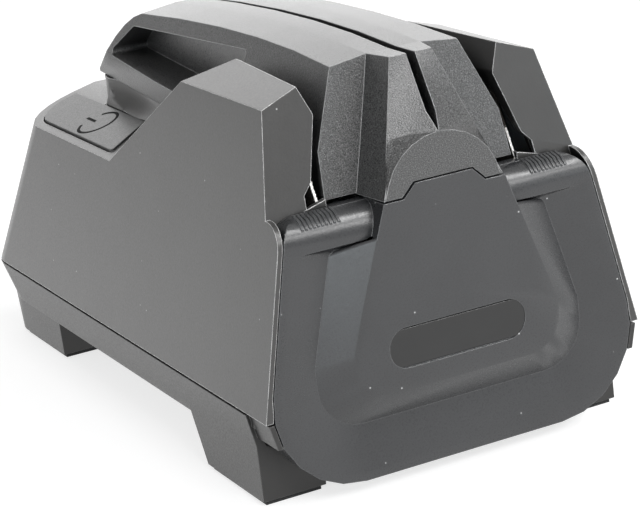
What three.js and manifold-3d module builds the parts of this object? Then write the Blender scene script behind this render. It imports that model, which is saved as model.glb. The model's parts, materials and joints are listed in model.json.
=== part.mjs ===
// Electric knife sharpener with a lift-off guide, two short abrasive belts and a tilting front cover.
// Millimetres, +Z up, front towards -Y, resting on z = 0, symmetric about x = 0.
import * as THREE from 'three';
import { mergeVertices } from 'three/addons/utils/BufferGeometryUtils.js';
import Module from 'manifold-3d';

// Casing
const casingWall = 2.4;
const seamZ = 30.1;
const seamHalfWidth = 63.9;
const wallLean = 0.21;
const casingFrontY = -120.8;
const seamRearY = 124.5;
const rearLean = 0.516;
const rearCornerRadius = 20.5;
const seamGap = 0.7;
const deckEdgeZ = 83.8;
const deckSlope = 0.2675;
const deckCrestHalf = 23;
const ledgeZ = 87.2;
const shoulderRoll = 8;
const fitGap = 0.4;
const seatGap = 0.3;
const overrun = 12;

// Towers
const towerFootY = -111.5;
const towerFrontLean = 0.24;
const towerRearFootY = 7.9;
const towerRearLean = 1.623;
const towerEdgeZ = 117.3;
const ridgeFrontHalf = 33.5;
const ridgeFrontZ = 121.7;
const ridgeRearZ = 122.5;
const ridgeRearY = -57.7;
const slotLipHalf = 30.1;
const ridgeRearHalf = slotLipHalf;
const slotLipZ = 113;
const slotLipDepth = 4.5;
const slotWaistHalf = 35.4;
const slotWaistZ = 94.7;
const slotHipHalf = 38.3;
const slotHipZ = 91.5;
const slotFootHalf = 38.9;

// Guide bed in the casing
const bedHalfWidth = 32.2;
const bedFloorZ = 85.5;
const bedRearY = 5.5;
const islandHalfWidth = 30.6;
const islandRearY = 66;
const islandFlare = 4.4;
const islandFlareHeight = 4;
const islandFlareShare = 0.4;
const islandCorner = 7;
const scoopLength = 58;
const scoopDepth = 8;
const scoopHeight = 10.5;
const scoopY = 34;

// Base tray, feet and foot pads
const baseSideZ = 16.4;
const baseSideInset = 2.8;
const baseSideHalf = seamHalfWidth - baseSideInset;
const baseUnderZ = 12.2;
const baseUnderInset = 9.9;
const baseUnderHalf = seamHalfWidth - baseUnderInset;
const baseFloor = 2.6;
const baseRearInset = 6.5;
const baseRearY = seamRearY - baseRearInset;
const chinRearY = -106.7;
const chinFrontY = -111.5;
const chinLipZ = 22;
const lipHeight = 4;
const footInnerHalf = 41;
const frontFootInset = 2.2;
const frontFootHalf = seamHalfWidth - frontFootInset;
const frontFootLength = 40.4;
const frontFootSlope = 10;
const rearFootInset = 6;
const rearFootHalf = seamHalfWidth - rearFootInset;
const rearFootSetback = 3.8;
const rearFootRearY = seamRearY - rearFootSetback;
const rearFootLength = 51.7;
const rearFootFrontY = rearFootRearY - rearFootLength;
const rearFootSlope = 4;
const rearFootCorner = 12;
const footDraft = 1.6;
const padThickness = 1.5;
const padInset = 1.2;
const bossRadius = 3.6;
const bossHoleRadius = 1.5;
const caseScrewRadius = 1.2;
const caseScrewHeadRadius = 2.5;
const caseScrewHead = 1.8;
const caseScrewGrip = 11;
const bossFrontY = -72;
const bossRearSetback = 29.5;
const bossRearY = seamRearY - bossRearSetback;
const bossHalf = 34;

// Front cover
const lipWidth = 1.6;
const coverThickness = 2.5;
const coverBottomZ = 5;
const coverCornerRadius = 27;
const valleyY = -117.7;
const valleyTopZ = 75.7;
const rollFootZ = 77.5;
const bandTopZ = 78.3;
const rimWidth = 3;
const valleyHalfTop = 36;
const valleyHalfLow = 45;
const valleyLowZ = 42;
const valleyBottomZ = 21.6;
const valleyCorner = 14;
const plateTopY = -124.5;
const plateBottomY = -123;
const plateHalfTop = 20.2;
const plateHalfLow = 34.8;
const plateLowZ = 45;
const plateBottomZ = 30;
const plateCorner = 11;
const plateTopZ = 87.5;
const tabHalfTop = 9.5;
const tabHalfFoot = 13.6;
const tabTopZ = 91.6;
const badgeHalfLength = 23;
const badgeHeight = 12.6;
const badgeZ = 43;
const badgeDepth = 0.6;
const gripRibs = 10;
const gripPitch = 1.3;
const gripRibWidth = 0.7;
const gripRibHeight = 0.6;
const gripHalf = 38.2;
const hingeY = -116;
const hingeZ = 9.4;
const hookHalf = 26;
const hookWidth = 8;
const hookPinRadius = 1.8;
const hookPinLength = 4;
const clipRadius = 3.4;
const clipWidth = 3.2;
const clipMouth = 1.5;
const coverRimZ = 14.5;

// Knife guide
const guideFrontY = -108.3;
const guideFrontZ = 92.9;
const guideFrontLean = 0.21;
const guideTopHalf = 21.4;
const guideTopZ = 124.9;
const guideSideLean = 0.4;
const guideRailHalf = 24;
const guideRailWidth = 3;
const guideCrownHalf = 9.1;
const guideCrownRise = 1.5;
const guideBodyHalf = 29.6;
const guideFrontBottomZ = 88.3;
const panelThickness = 1.8;
const panelWaistHalf = 30.5;
const panelWaistZ = 102.2;
const panelFootHalf = 31.5;
const archFrontZ = 124.9;
const archFrontY = -101;
const archPeakZ = 126.9;
const archPeakY = -45;
const archShoulderY = 39;
const archShoulderZ = 123.4;
const archTailPullY = 55;
const archTailPullZ = 120.2;
const archRearY = 67;
const archRearZ = 101.9;
const bandRearZ = 100.4;
const bandSlope = 0.069;
const pocketDepthHalf = 14.5;
const pocketFloorRearY = 60.3;
const pocketFloorRearZ = 107.9;
const pocketFloorSlope = 0.077;
const pocketTopRearY = 43.5;
const pocketTopRearZ = 118.8;
const pocketTopZ = 122.6;
const pocketFrontY = -47.2;
const pocketFrontLean = 12;
const pocketCorner = 3;
const columnTopHalf = 7;
const columnTopY = -111.9;
const columnRootHalf = 9.3;
const columnLean = 0.333;
const columnBackY = -100;
const domeY = -124.1;
const domeHalf = 19;
const domeRise = 18.9;
const domeCentreZ = 86;
const domeFootZ = 88;
const domeTopZ = 104.9;
const honeSlotFloorZ = 104.6;
const honeSlotVee = 6;
const honeSlotHalfFront = 1.6;
const honeSlotHalfRear = 0.5;
const honeSlotRearY = 58;
const honeRodRadius = 1.6;
const honeRodLength = 17;
const honeRodTilt = 0.5;
const honeRodY = -86;
const honeRodPitch = 4.4;
const honeRodZ = 110;
const honeChamberTopZ = 120;
const flareShare = 0.62;
const notchGap = 0.4;
const underPocketHalf = 22;
const underPocketTopZ = 99;
const underRibs = 4;
const underRib = 2.2;
const underPocketFrontY = -98;
const underPocketRearY = 2;

// Power button and switch
const buttonInnerHalf = 31.9;
const buttonOuterHalf = 49;
const buttonFrontY = 14.2;
const buttonFrontInnerY = 24.6;
const buttonSetback = 35.7;
const buttonRearY = seamRearY - buttonSetback;
const buttonCorner = 13.5;
const buttonEdgeRadius = 1;
const buttonProud = 0.7;
const buttonGap = 0.55;
const buttonTravel = 1.8;
const buttonFlange = 1.2;
const buttonCollarRadius = 5.6;
const buttonCollarZ = 81.3;
const buttonStemRadius = 3.2;
const buttonCentreHalf = 40.4;
const buttonCentreSetback = 34.8;
const buttonCentreY = buttonRearY - buttonCentreSetback;
const switchWidth = 13;
const switchLength = 20;
const switchHeight = 12;
const plungerRadius = 2;
const plungerHeight = 3.7;
const plungerDip = 1.2;
const boardTopZ = 63.1;
const boardThickness = 1.6;
const boardInnerHalf = 25;
const boardOuterHalf = 51.5;
const boardFrontY = 4;
const boardSetback = 38.5;
const boardRearY = seamRearY - boardSetback;
const boardChipHeight = 4;
const boardChipLength = 9;
const boardPostRadius = 2.2;
const boardNeckRadius = 1.1;
const boardPostHalf = 27.8;
const boardPostOuterHalf = 46;
const boardPostFrontY = 8.5;
const boardPostY = 20;
const boardPostInset = 4;
const boardPostRearY = boardRearY - boardPostInset;
const terminalWidth = 5;
const terminalLength = 9;
const terminalHeight = 6;
const motorTerminalY = 42;
const inletTerminalY = 65;
const buttonSpringRadius = 4.6;
const springWire = 0.8;
const springTurns = 4;

// Belt drive, in a frame that leans back with the belts
const beltLean = 0.48;
const beltFrontY = -107.9;
const beltWidth = 12.7;
const beltThickness = 0.8;
const beltHalf = 33;
const idlerRadius = 4.6;
const idlerRise = 25;
const driveRollerRadius = 6.5;
const driveDrop = -10;
const rollerCrown = 0.2;
const axleRadius = 1.6;
const shaftRadius = 2;
const runningGap = 0.25;
const carriageGap = 0.7;
const carriageDepth = 3.3;
const carriageHalf = 3;
const carriageOverhang = 4;
const carriageTongueHalf = 0.9;
const carriageTongueRise = 2.5;
const carriageHead = 1.4;
const axleClip = 0.7;
const axleClipRadius = 2.5;
const carriageTravel = 3;
const plateDepth = 17;
const plateThick = 2.5;
const plateDrop = -40;
const plateRise = 2.8;
const earRise = 31;
const plateHalf = 50.5;
const plateLean = 0.19;
const shelfThickness = 2.2;
const barWidth = 1;
const shelfRise = 3.7;
const gearWidth = 5;
const gearGap = 0.8;
const pinionTeeth = 14;
const idlerTeeth = 28;
const pressureAngle = 20;
const dedendumShare = 1.25;
const gearBacklash = 0.16;
const rearPlateHalf = 46.6;
const rearPlateDrop = -31;
const rearPlateCorner = 6;
const bushWall = 1.35;
const bushFlange = 1.1;
const bushFlangeRadius = 4.8;
const studRadius = 1.9;
const shaftTail = 2;
const motorRadius = 16.5;
const motorLength = 52;
const motorNeckRadius = 6;
const motorNeck = 3;
const motorShaftRadius = 1.6;
const motorTailRadius = 5;
const motorTail = 3;
const motorChamfer = 1;
const motorScrewRise = 12;
const screwRadius = 1.4;
const screwHeadRadius = 2.8;
const screwHead = 1.6;
const postRadius = 3.4;
const postDrop = -27;
const postInnerHalf = 6;
const postOuterHalf = 37;
const tensionSpringRadius = 2.3;
const tensionSpringWire = 0.55;
const tensionSpringTop = 12;
const tensionSpringDepth = 14.1;
const tensionSpringTurns = 4;

// Low-voltage inlet and leads
const inletHalf = 6;
const inletHeight = 11;
const inletDepth = 13;
const inletEar = 2;
const inletBoreDepth = 9;
const inletBoreRadius = 3.2;
const inletPinRadius = 1;
const inletZ = 44;
const leadRadius = 1.1;

// Facets
const cornerSteps = 6;
const roundSteps = 16;
const towerSteps = 4;
const archSteps = 5;
const domeSteps = 6;
const coilSteps = 8;
const coilSides = 5;
const leadSteps = 12;
const leadSides = 6;
const flankSteps = 1;
const smallSteps = 10;
const screwSteps = 8;
const ribSteps = 3;

const weldDistance = 1e-4;
const wasm = await Module();
wasm.setup();
const { Manifold, Mesh: SolidMesh } = wasm;

// Closed geometry to solid and back
function toSolid(geometry) {
  const plain = geometry.clone();
  for (const name of Object.keys(plain.attributes)) {
    if (name !== 'position') plain.deleteAttribute(name);
  }
  const welded = mergeVertices(plain, weldDistance);
  return new Manifold(new SolidMesh({
    numProp: 3,
    vertProperties: new Float32Array(welded.attributes.position.array),
    triVerts: new Uint32Array(welded.index.array),
  }));
}

function toGeometry(solid) {
  const mesh = solid.getMesh();
  const geometry = new THREE.BufferGeometry();
  geometry.setAttribute('position', new THREE.BufferAttribute(mesh.vertProperties, 3));
  geometry.setIndex(new THREE.BufferAttribute(mesh.triVerts, 1));
  return geometry;
}

const join = (...solids) => solids.reduce((all, next) => all.add(next));
const mirror = (solid) => solid.mirror([1, 0, 0]);
const bothSides = (solid) => solid.add(mirror(solid));

// A straight prism: points lie in the plane across the axis, as [y, z], [x, z] or [x, y]
function prism(axis, points, from, to) {
  const shape = new THREE.Shape(points.map(([u, v]) => new THREE.Vector2(u, v)));
  const geometry = new THREE.ExtrudeGeometry(shape, { depth: to - from, bevelEnabled: false });
  const X = new THREE.Vector3(1, 0, 0);
  const Y = new THREE.Vector3(0, 1, 0);
  const Z = new THREE.Vector3(0, 0, 1);
  const turn = new THREE.Matrix4();
  if (axis === 'x') turn.makeBasis(Y, Z, X).setPosition(from, 0, 0);
  if (axis === 'y') turn.makeBasis(X, Z, Y.negate()).setPosition(0, to, 0);
  if (axis === 'z') turn.makeBasis(X, Y, Z).setPosition(0, 0, from);
  return toSolid(geometry.applyMatrix4(turn));
}

const rectangle = (u0, v0, u1, v1) => [[u0, v0], [u1, v0], [u1, v1], [u0, v1]];
const block = (x0, y0, z0, x1, y1, z1) => prism('z', rectangle(x0, y0, x1, y1), z0, z1);

// Straight outline whose corners may carry a radius as their third number
function rounded(corners, steps = cornerSteps) {
  const points = [];
  corners.forEach(([u, v, radius = 0], i) => {
    const here = new THREE.Vector2(u, v);
    if (radius === 0) {
      points.push([u, v]);
      return;
    }
    const before = corners[(i + corners.length - 1) % corners.length];
    const after = corners[(i + 1) % corners.length];
    const into = new THREE.Vector2(before[0] - u, before[1] - v).normalize();
    const out = new THREE.Vector2(after[0] - u, after[1] - v).normalize();
    const half = Math.acos(THREE.MathUtils.clamp(into.dot(out), -1, 1)) / 2;
    const reach = radius / Math.tan(half);
    const centre = into.clone().add(out).normalize().multiplyScalar(radius / Math.sin(half)).add(here);
    const start = here.clone().addScaledVector(into, reach).sub(centre).angle();
    const end = here.clone().addScaledVector(out, reach).sub(centre).angle();
    let sweep = end - start;
    if (sweep > Math.PI) sweep -= 2 * Math.PI;
    if (sweep < -Math.PI) sweep += 2 * Math.PI;
    for (let k = 0; k <= steps; k += 1) {
      const angle = start + (sweep * k) / steps;
      points.push([centre.x + radius * Math.cos(angle), centre.y + radius * Math.sin(angle)]);
    }
  });
  return points;
}

// Skin through rings of equal count, closed with flat ends; rings run anticlockwise seen from the last
function loft(rings) {
  const count = rings[0].length;
  const vertices = rings.flat();
  const triangles = [];
  for (let r = 0; r + 1 < rings.length; r += 1) {
    for (let i = 0; i < count; i += 1) {
      const j = (i + 1) % count;
      const a = r * count + i;
      const b = r * count + j;
      triangles.push([a, b, b + count], [a, b + count, a + count]);
    }
  }
  const last = (rings.length - 1) * count;
  for (const [ring, offset, flip] of [[rings[0], 0, true], [rings[rings.length - 1], last, false]]) {
    for (const [a, b, c] of capTriangles(ring)) {
      triangles.push(flip ? [a + offset, c + offset, b + offset] : [a + offset, b + offset, c + offset]);
    }
  }
  const geometry = new THREE.BufferGeometry();
  const positions = triangles.flat().flatMap((i) => vertices[i].toArray());
  geometry.setAttribute('position', new THREE.Float32BufferAttribute(positions, 3));
  return toSolid(geometry);
}

// Flat end of a ring, wound as the ring runs
function capTriangles(ring) {
  const normal = new THREE.Vector3();
  ring.forEach((p, i) => {
    const q = ring[(i + 1) % ring.length];
    normal.add(new THREE.Vector3().crossVectors(p, q));
  });
  normal.normalize();
  const right = ring[1].clone().sub(ring[0]).normalize();
  const up = new THREE.Vector3().crossVectors(normal, right);
  const flat = ring.map((p) => new THREE.Vector2(p.dot(right), p.dot(up)));
  return THREE.ShapeUtils.triangulateShape(flat, []);
}

const ringAtZ = (points, z) => points.map(([x, y]) => new THREE.Vector3(x, y, z));
const ringAtY = (points, y) => points.map(([x, z]) => new THREE.Vector3(x, y, z)).reverse();

// A turned piece about the axis 'y' or 'z'; profile is [radius, along]
function turned(profile, axis = 'y', steps = roundSteps) {
  const points = profile.map(([r, t]) => new THREE.Vector2(r, t));
  const geometry = new THREE.LatheGeometry(points, steps);
  if (axis === 'z') geometry.rotateX(Math.PI / 2);
  return geometry;
}
const rod = (radius, from, to, steps = roundSteps) =>
  turned([[0, from], [radius, from], [radius, to], [0, to]], 'y', steps);
const rodSolid = (radius, from, to, steps = roundSteps) => toSolid(rod(radius, from, to, steps));
const rodX = (radius, from, to) => rodSolid(radius, from, to).rotate([0, 0, -90]);
const uprightRod = (radius, from, to, steps = roundSteps) =>
  toSolid(turned([[0, from], [radius, from], [radius, to], [0, to]], 'z', steps));

// Casing sections
const halfWidthAt = (z) => seamHalfWidth - wallLean * (z - seamZ);
const rearAt = (z) => seamRearY - rearLean * (z - seamZ);
const deckHalfWidth = halfWidthAt(deckEdgeZ);
const deckAt = (x) => deckEdgeZ + deckSlope * (deckHalfWidth - Math.max(Math.abs(x), deckCrestHalf));
const towerFrontAt = (z) => towerFootY + towerFrontLean * (z - ledgeZ);
const towerRearAt = (z) => towerRearFootY - towerRearLean * (z - deckEdgeZ);
const bandBottomAt = (y) => bandRearZ + bandSlope * (y - pocketFloorRearY);
const guideSideAt = (z) => guideTopHalf + guideSideLean * (guideTopZ - z);
const guideFrontAt = (z) => guideFrontY + guideFrontLean * (z - guideFrontZ);

function planOutline(halfWidth, frontY, rearY, corner) {
  return rounded([
    [-halfWidth, frontY], [halfWidth, frontY], [halfWidth, rearY, corner], [-halfWidth, rearY, corner],
  ]);
}

const topZ = ridgeRearZ + overrun;
function casingBulk(inset, bottomZ) {
  const section = (z) => ringAtZ(planOutline(
    halfWidthAt(z) - inset, casingFrontY, rearAt(z) - inset, rearCornerRadius - inset,
  ), z);
  return loft([section(bottomZ), section(topZ)]);
}

// Under the deck roof, lowered by a drop
function underRoof(drop, frontY) {
  const edge = seamHalfWidth + overrun;
  const edgeZ = deckEdgeZ + deckSlope * (deckHalfWidth - edge) - drop;
  const crestZ = deckAt(0) - drop;
  return prism('y', [
    [-edge, -overrun], [edge, -overrun], [edge, edgeZ], [deckCrestHalf, crestZ],
    [-deckCrestHalf, crestZ], [-edge, edgeZ],
  ], frontY, seamRearY + overrun);
}

// One tower's section, wall taken off all round
function towerSection(ridgeHalf, ridgeZ, wall, footZ) {
  const slope = (slotWaistHalf - slotLipHalf) / (slotLipZ - slotWaistZ);
  const edgeHalf = halfWidthAt(towerEdgeZ);
  return [
    [slotFootHalf + wall, footZ],
    [seamHalfWidth + overrun, footZ],
    [seamHalfWidth + overrun, towerEdgeZ - wall],
    [edgeHalf, towerEdgeZ - wall * (1 + wallLean)],
    [ridgeHalf + wall / 2, ridgeZ - wall * (1 + wallLean)],
    [slotLipHalf + wall * (1 + slope / 2), slotLipZ - wall / 2],
    [slotWaistHalf + wall, slotWaistZ],
    [slotHipHalf + wall, slotHipZ - wall / 4],
  ];
}

function towerBulk(wall, footZ) {
  const drift = (ridgeRearHalf - ridgeFrontHalf) / (ridgeRearY - towerFrontAt(ridgeFrontZ));
  const climb = (ridgeRearZ - ridgeFrontZ) / (ridgeRearY - towerFrontAt(ridgeFrontZ));
  const section = (y, ridgeY = y) => {
    const along = ridgeY - towerFrontAt(ridgeFrontZ);
    const [half, z] = [ridgeFrontHalf + drift * along, ridgeFrontZ + climb * along];
    return ringAtY(towerSection(half, z, wall, footZ), y);
  };
  const lean = Math.hypot(1, towerRearLean);
  const side = prism('x', [
    [towerFrontAt(footZ) + wall, footZ],
    [towerRearAt(footZ) - wall * lean, footZ],
    [towerRearAt(topZ) - wall * lean, topZ],
    [towerFrontAt(topZ) + wall, topZ],
  ], slotLipHalf - overrun, seamHalfWidth + overrun);
  const frontY = towerFootY - overrun;
  const rings = [];
  for (let i = 0; i <= towerSteps; i += 1) {
    rings.push(section(frontY + ((ridgeRearY - frontY) * i) / towerSteps));
  }
  return loft([...rings, section(towerRearFootY + overrun, ridgeRearY)])
    .intersect(side).intersect(casingBulk(wall, footZ));
}

// Front outline of the cover: leaning sides, large lower corners
const coverBackY = towerFootY - fitGap;
function coverOutline(inset, topCorner, topInset = inset) {
  const edge = lipWidth + fitGap + inset;
  const top = ledgeZ - topInset;
  const low = coverBottomZ + inset;
  return rounded([
    [-(halfWidthAt(low) - edge), low, coverCornerRadius - inset],
    [halfWidthAt(low) - edge, low, coverCornerRadius - inset],
    [halfWidthAt(top) - edge, top, topCorner],
    [-(halfWidthAt(top) - edge), top, topCorner],
  ]);
}

// Casing: deck, side walls and both towers in one moulding
const far = seamHalfWidth + overrun;
function island(inset) {
  const section = (z, half, rear, corner) =>
    ringAtZ(planOutline(half - inset, bedRearY - overrun, rear - inset, corner), z);
  const footZ = deckAt(islandHalfWidth) - overrun / 2;
  const flare = [0, islandFlareShare, 1].map((t) => {
    const out = islandFlare * (1 - Math.sqrt(1 - (1 - t) ** 2));
    const z = deckAt(islandHalfWidth) - deckSlope * islandFlare + islandFlareHeight * t;
    return section(z, islandHalfWidth + out, islandRearY + out, islandCorner + out);
  });
  const top = section(bandRearZ + overrun, islandHalfWidth, islandRearY, islandCorner);
  const foot = section(footZ, islandHalfWidth + islandFlare, islandRearY + islandFlare,
    islandCorner + islandFlare);
  const under = prism('x', [
    [bedRearY, footZ], [islandRearY + overrun, footZ],
    [islandRearY + overrun, bandBottomAt(islandRearY + overrun) - seatGap - inset],
    [bedRearY, bandBottomAt(bedRearY) - seatGap - inset],
  ], -far, far);
  return loft([foot, ...flare, top]).intersect(under);
}

function buttonOutline(grow, side) {
  const corners = [
    [buttonInnerHalf - grow, buttonRearY + grow, buttonEdgeRadius + grow],
    [buttonInnerHalf - grow, buttonFrontInnerY - grow, buttonEdgeRadius + grow],
    [buttonOuterHalf + grow, buttonFrontY - grow, buttonEdgeRadius + grow],
    [buttonOuterHalf + grow, buttonRearY + grow, buttonCorner + grow],
  ].map(([x, y, r]) => [side * x, y, r]);
  return rounded(corners);
}

const beltLeanAngle = Math.atan(beltLean);
const leanCos = Math.cos(beltLeanAngle);
const beltFrontAt = (z) => beltFrontY + beltLean * (z - ledgeZ);
const bossAt = [[bossHalf, bossFrontY], [bossHalf, bossRearY]];

function makeCasing() {
  const bottomZ = seamZ + seamGap / 2;
  const bulk = casingBulk(0, bottomZ);
  const front = bulk.intersect(prism('x', rounded([
    [casingFrontY, bottomZ], [towerFootY + casingWall, bottomZ], [towerFootY + casingWall, ledgeZ],
    [casingFrontY, ledgeZ, shoulderRoll],
  ]), -far, far));
  const deck = bulk.intersect(underRoof(0, towerFootY));
  const towerFootZ = deckEdgeZ - overrun / 2;
  const solid = join(front, deck, bothSides(towerBulk(0, towerFootZ)), island(0));

  const bedKeep = block(-bedHalfWidth - casingWall, casingFrontY - overrun, bedFloorZ - casingWall,
    bedHalfWidth + casingWall, bedRearY + casingWall, topZ);
  const room = casingBulk(casingWall, bottomZ - overrun)
    .intersect(underRoof(casingWall, towerFootY - overrun))
    .subtract(bedKeep);
  const islandRoom = island(casingWall + scoopDepth).subtract(bedKeep);
  const opening = prism('y', coverOutline(-fitGap, shoulderRoll / 2, -overrun),
    casingFrontY - overrun, towerFootY);
  const bed = block(-bedHalfWidth, casingFrontY - overrun, bedFloorZ, bedHalfWidth, bedRearY, slotWaistZ);
  const windowTopZ = slotLipZ - lipWidth;
  const windowDepth = (plateDepth + plateThick + carriageHead + gearGap * 2) / leanCos;
  const windowLowZ = deckEdgeZ - shoulderRoll / 2;
  const windowTo = (z, half) => prism('x', [
    [beltFrontAt(windowLowZ) - casingWall, windowLowZ],
    [beltFrontAt(windowLowZ) + windowDepth, windowLowZ],
    [beltFrontAt(z) + windowDepth, z], [beltFrontAt(z) - casingWall, z],
  ], half, slotFootHalf + casingWall);
  const window = windowTo(windowTopZ, bedHalfWidth)
    .add(windowTo(slotLipZ - slotLipDepth, slotLipHalf - overrun));
  const well = prism('z', buttonOutline(buttonGap, -1), deckEdgeZ - overrun, topZ);
  const scoop = toSolid(new THREE.SphereGeometry(1, roundSteps, roundSteps / 2)
    .scale(scoopDepth, scoopLength / 2, scoopHeight)
    .translate(islandHalfWidth + islandFlare, scoopY, bandBottomAt(scoopY)));
  const socket = prism('y', rectangle(-inletHalf - fitGap, inletZ - inletHeight / 2 - fitGap,
    inletHalf + fitGap, inletZ + inletHeight / 2 + fitGap), bossRearY, seamRearY + overrun);
  const bosses = bossAt.map(([x, y]) => uprightRod(bossRadius, bottomZ + seatGap, ledgeZ, smallSteps)
    .translate([x, y, 0]));
  const holes = bossAt.map(([x, y]) => uprightRod(bossHoleRadius, 0, bottomZ + caseScrewGrip, screwSteps)
    .translate([x, y, 0]));
  return solid
    .subtract(join(room, islandRoom, bothSides(towerBulk(casingWall, windowLowZ))))
    .add(bothSides(join(...bosses)).add(atBoardPosts(boardPost()))
      .intersect(bulk).intersect(underRoof(casingWall / 2, casingFrontY)))
    .subtract(join(opening, bed, bothSides(join(window, scoop, ...holes)), well, socket));
}

// Base tray with four feet, open at the top
const footBottomZ = padThickness;
function frontFootOutline(grow, inset = 0) {
  const rearY = chinRearY + frontFootLength + (grow * frontFootSlope) / footDraft - inset;
  return [
    [footInnerHalf - grow + inset, chinRearY + inset], [frontFootHalf - inset, chinRearY + inset],
    [frontFootHalf - inset, rearY], [footInnerHalf - grow + inset, rearY],
  ];
}
function rearFootOutline(grow, inset = 0) {
  const innerHalf = footInnerHalf - footDraft * 2 - grow + inset;
  const frontY = rearFootFrontY - (grow * rearFootSlope) / footDraft + inset;
  return rounded([
    [innerHalf, frontY], [rearFootHalf + grow - inset, frontY],
    [rearFootHalf + grow - inset, rearFootRearY - grow - inset, rearFootCorner - inset],
    [innerHalf, rearFootRearY - grow - inset],
  ]);
}

const baseTopZ = seamZ - seamGap / 2;
const baseRearUnderY = baseRearY - (seamHalfWidth - baseSideHalf) * 2;
const baseSection = (z, half, rear, inset) => ringAtZ(planOutline(
  half - inset, casingFrontY + inset, rear - inset, rearCornerRadius - inset,
), z);

function makeBase() {
  const shell = loft([
    baseSection(baseUnderZ, baseUnderHalf, baseRearUnderY, 0),
    baseSection(baseSideZ, baseSideHalf, baseRearY, 0),
    baseSection(baseTopZ, seamHalfWidth, seamRearY, 0),
  ]);
  const behind = block(-far, chinRearY, 0, far, seamRearY + overrun, seamZ);
  const frontOutline = coverOutline(-lipWidth - fitGap, shoulderRoll);
  const lipFront = prism('y', frontOutline, casingFrontY, chinRearY + overrun)
    .intersect(block(-far, casingFrontY, chinLipZ, far, chinRearY + overrun, seamZ));
  const chin = prism('y', coverOutline(lipWidth, shoulderRoll), chinFrontY, chinRearY)
    .intersect(block(-far, chinFrontY, 0, far, chinRearY, baseTopZ));
  const footTopZ = baseSideZ + footDraft * 2;
  const frontFoot = loft([ringAtZ(frontFootOutline(0), footBottomZ),
    ringAtZ(frontFootOutline(footDraft), footTopZ)]);
  const rearFoot = loft([ringAtZ(rearFootOutline(0), footBottomZ),
    ringAtZ(rearFootOutline(footDraft), footTopZ)]);
  const floorZ = baseUnderZ + baseFloor;
  const room = loft([
    baseSection(floorZ, baseUnderHalf, baseRearUnderY, casingWall),
    baseSection(baseSideZ + baseFloor, baseSideHalf, baseRearY, casingWall),
    baseSection(seamZ + overrun, seamHalfWidth, seamRearY, casingWall),
  ]).intersect(block(-far, chinFrontY + casingWall, floorZ, far, seamRearY, seamZ + overrun));
  const opening = prism('y', coverOutline(-fitGap, shoulderRoll), casingFrontY - overrun, chinFrontY);
  const lipBand = baseSection(baseTopZ - lipHeight, seamHalfWidth, seamRearY, lipWidth);
  const lipFoot = loft([lipBand, lipBand.map((p) => p.clone().setZ(baseTopZ))]).intersect(shell);
  const lipInner = baseSection(baseUnderZ, seamHalfWidth, seamRearY, casingWall + seatGap + lipWidth * 2);
  const lip = lipFoot.add(casingBulk(casingWall + seatGap, baseTopZ - seatGap))
    .subtract(loft([lipInner, lipInner.map((p) => p.clone().setZ(topZ))]))
    .intersect(block(-far, towerFootY + casingWall, 0, far, seamRearY, baseTopZ + lipHeight));
  const boss = bossAt.map(([x, y]) => uprightRod(bossRadius, baseUnderZ, seamZ + seamGap / 2, smallSteps)
    .translate([x, y, 0]));
  const hole = bossAt.map(([x, y]) => uprightRod(bossHoleRadius, 0, seamZ + overrun, screwSteps)
    .add(uprightRod(caseScrewHeadRadius + seatGap, 0, baseUnderZ + caseScrewHead + seatGap, smallSteps))
    .translate([x, y, 0]));
  const ear = prism('x', rectangle(hingeY, hingeZ - hookPinRadius, chinFrontY + seatGap,
    hingeZ + hookPinRadius), hookHalf - hookWidth / 2, hookHalf + hookWidth / 2)
    .add(rodX(hookPinRadius, hookHalf - hookWidth / 2 - hookPinLength,
      hookHalf + hookWidth / 2 + hookPinLength).translate([0, hingeY, hingeZ]));
  return shell.intersect(behind.add(lipFront))
    .add(join(chin, bothSides(join(frontFoot, rearFoot))))
    .subtract(room)
    .add(join(bothSides(join(...boss)), lip))
    .subtract(join(opening, bothSides(join(...hole))))
    .add(bothSides(ear));
}

// Front cover: dished field, raised plate with a bevelled surround, rolled top edge and two clips
const plateRake = (plateBottomY - plateTopY) / (plateTopZ - plateBottomZ);
const plateAt = (z) => plateTopY + (plateTopZ - z) * plateRake;
const ringFacing = (points, y) => points.map(([x, z]) => new THREE.Vector3(x, y, z));
const ringOnPlate = (points, set) => points.map(([x, z]) => new THREE.Vector3(x, plateAt(z) + set, z));

function plateOutline(inset, plateTop, topCorner = 0) {
  const lean = (plateHalfLow - plateHalfTop) / (plateTopZ - plateLowZ);
  const topHalf = plateHalfTop + lean * (plateTopZ - plateTop) - inset;
  return rounded([
    [-(plateHalfLow - inset), plateBottomZ + inset, plateCorner],
    [plateHalfLow - inset, plateBottomZ + inset, plateCorner],
    [plateHalfLow - inset, plateLowZ], [topHalf, plateTop, topCorner], [-topHalf, plateTop, topCorner],
    [-(plateHalfLow - inset), plateLowZ],
  ]);
}

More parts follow.
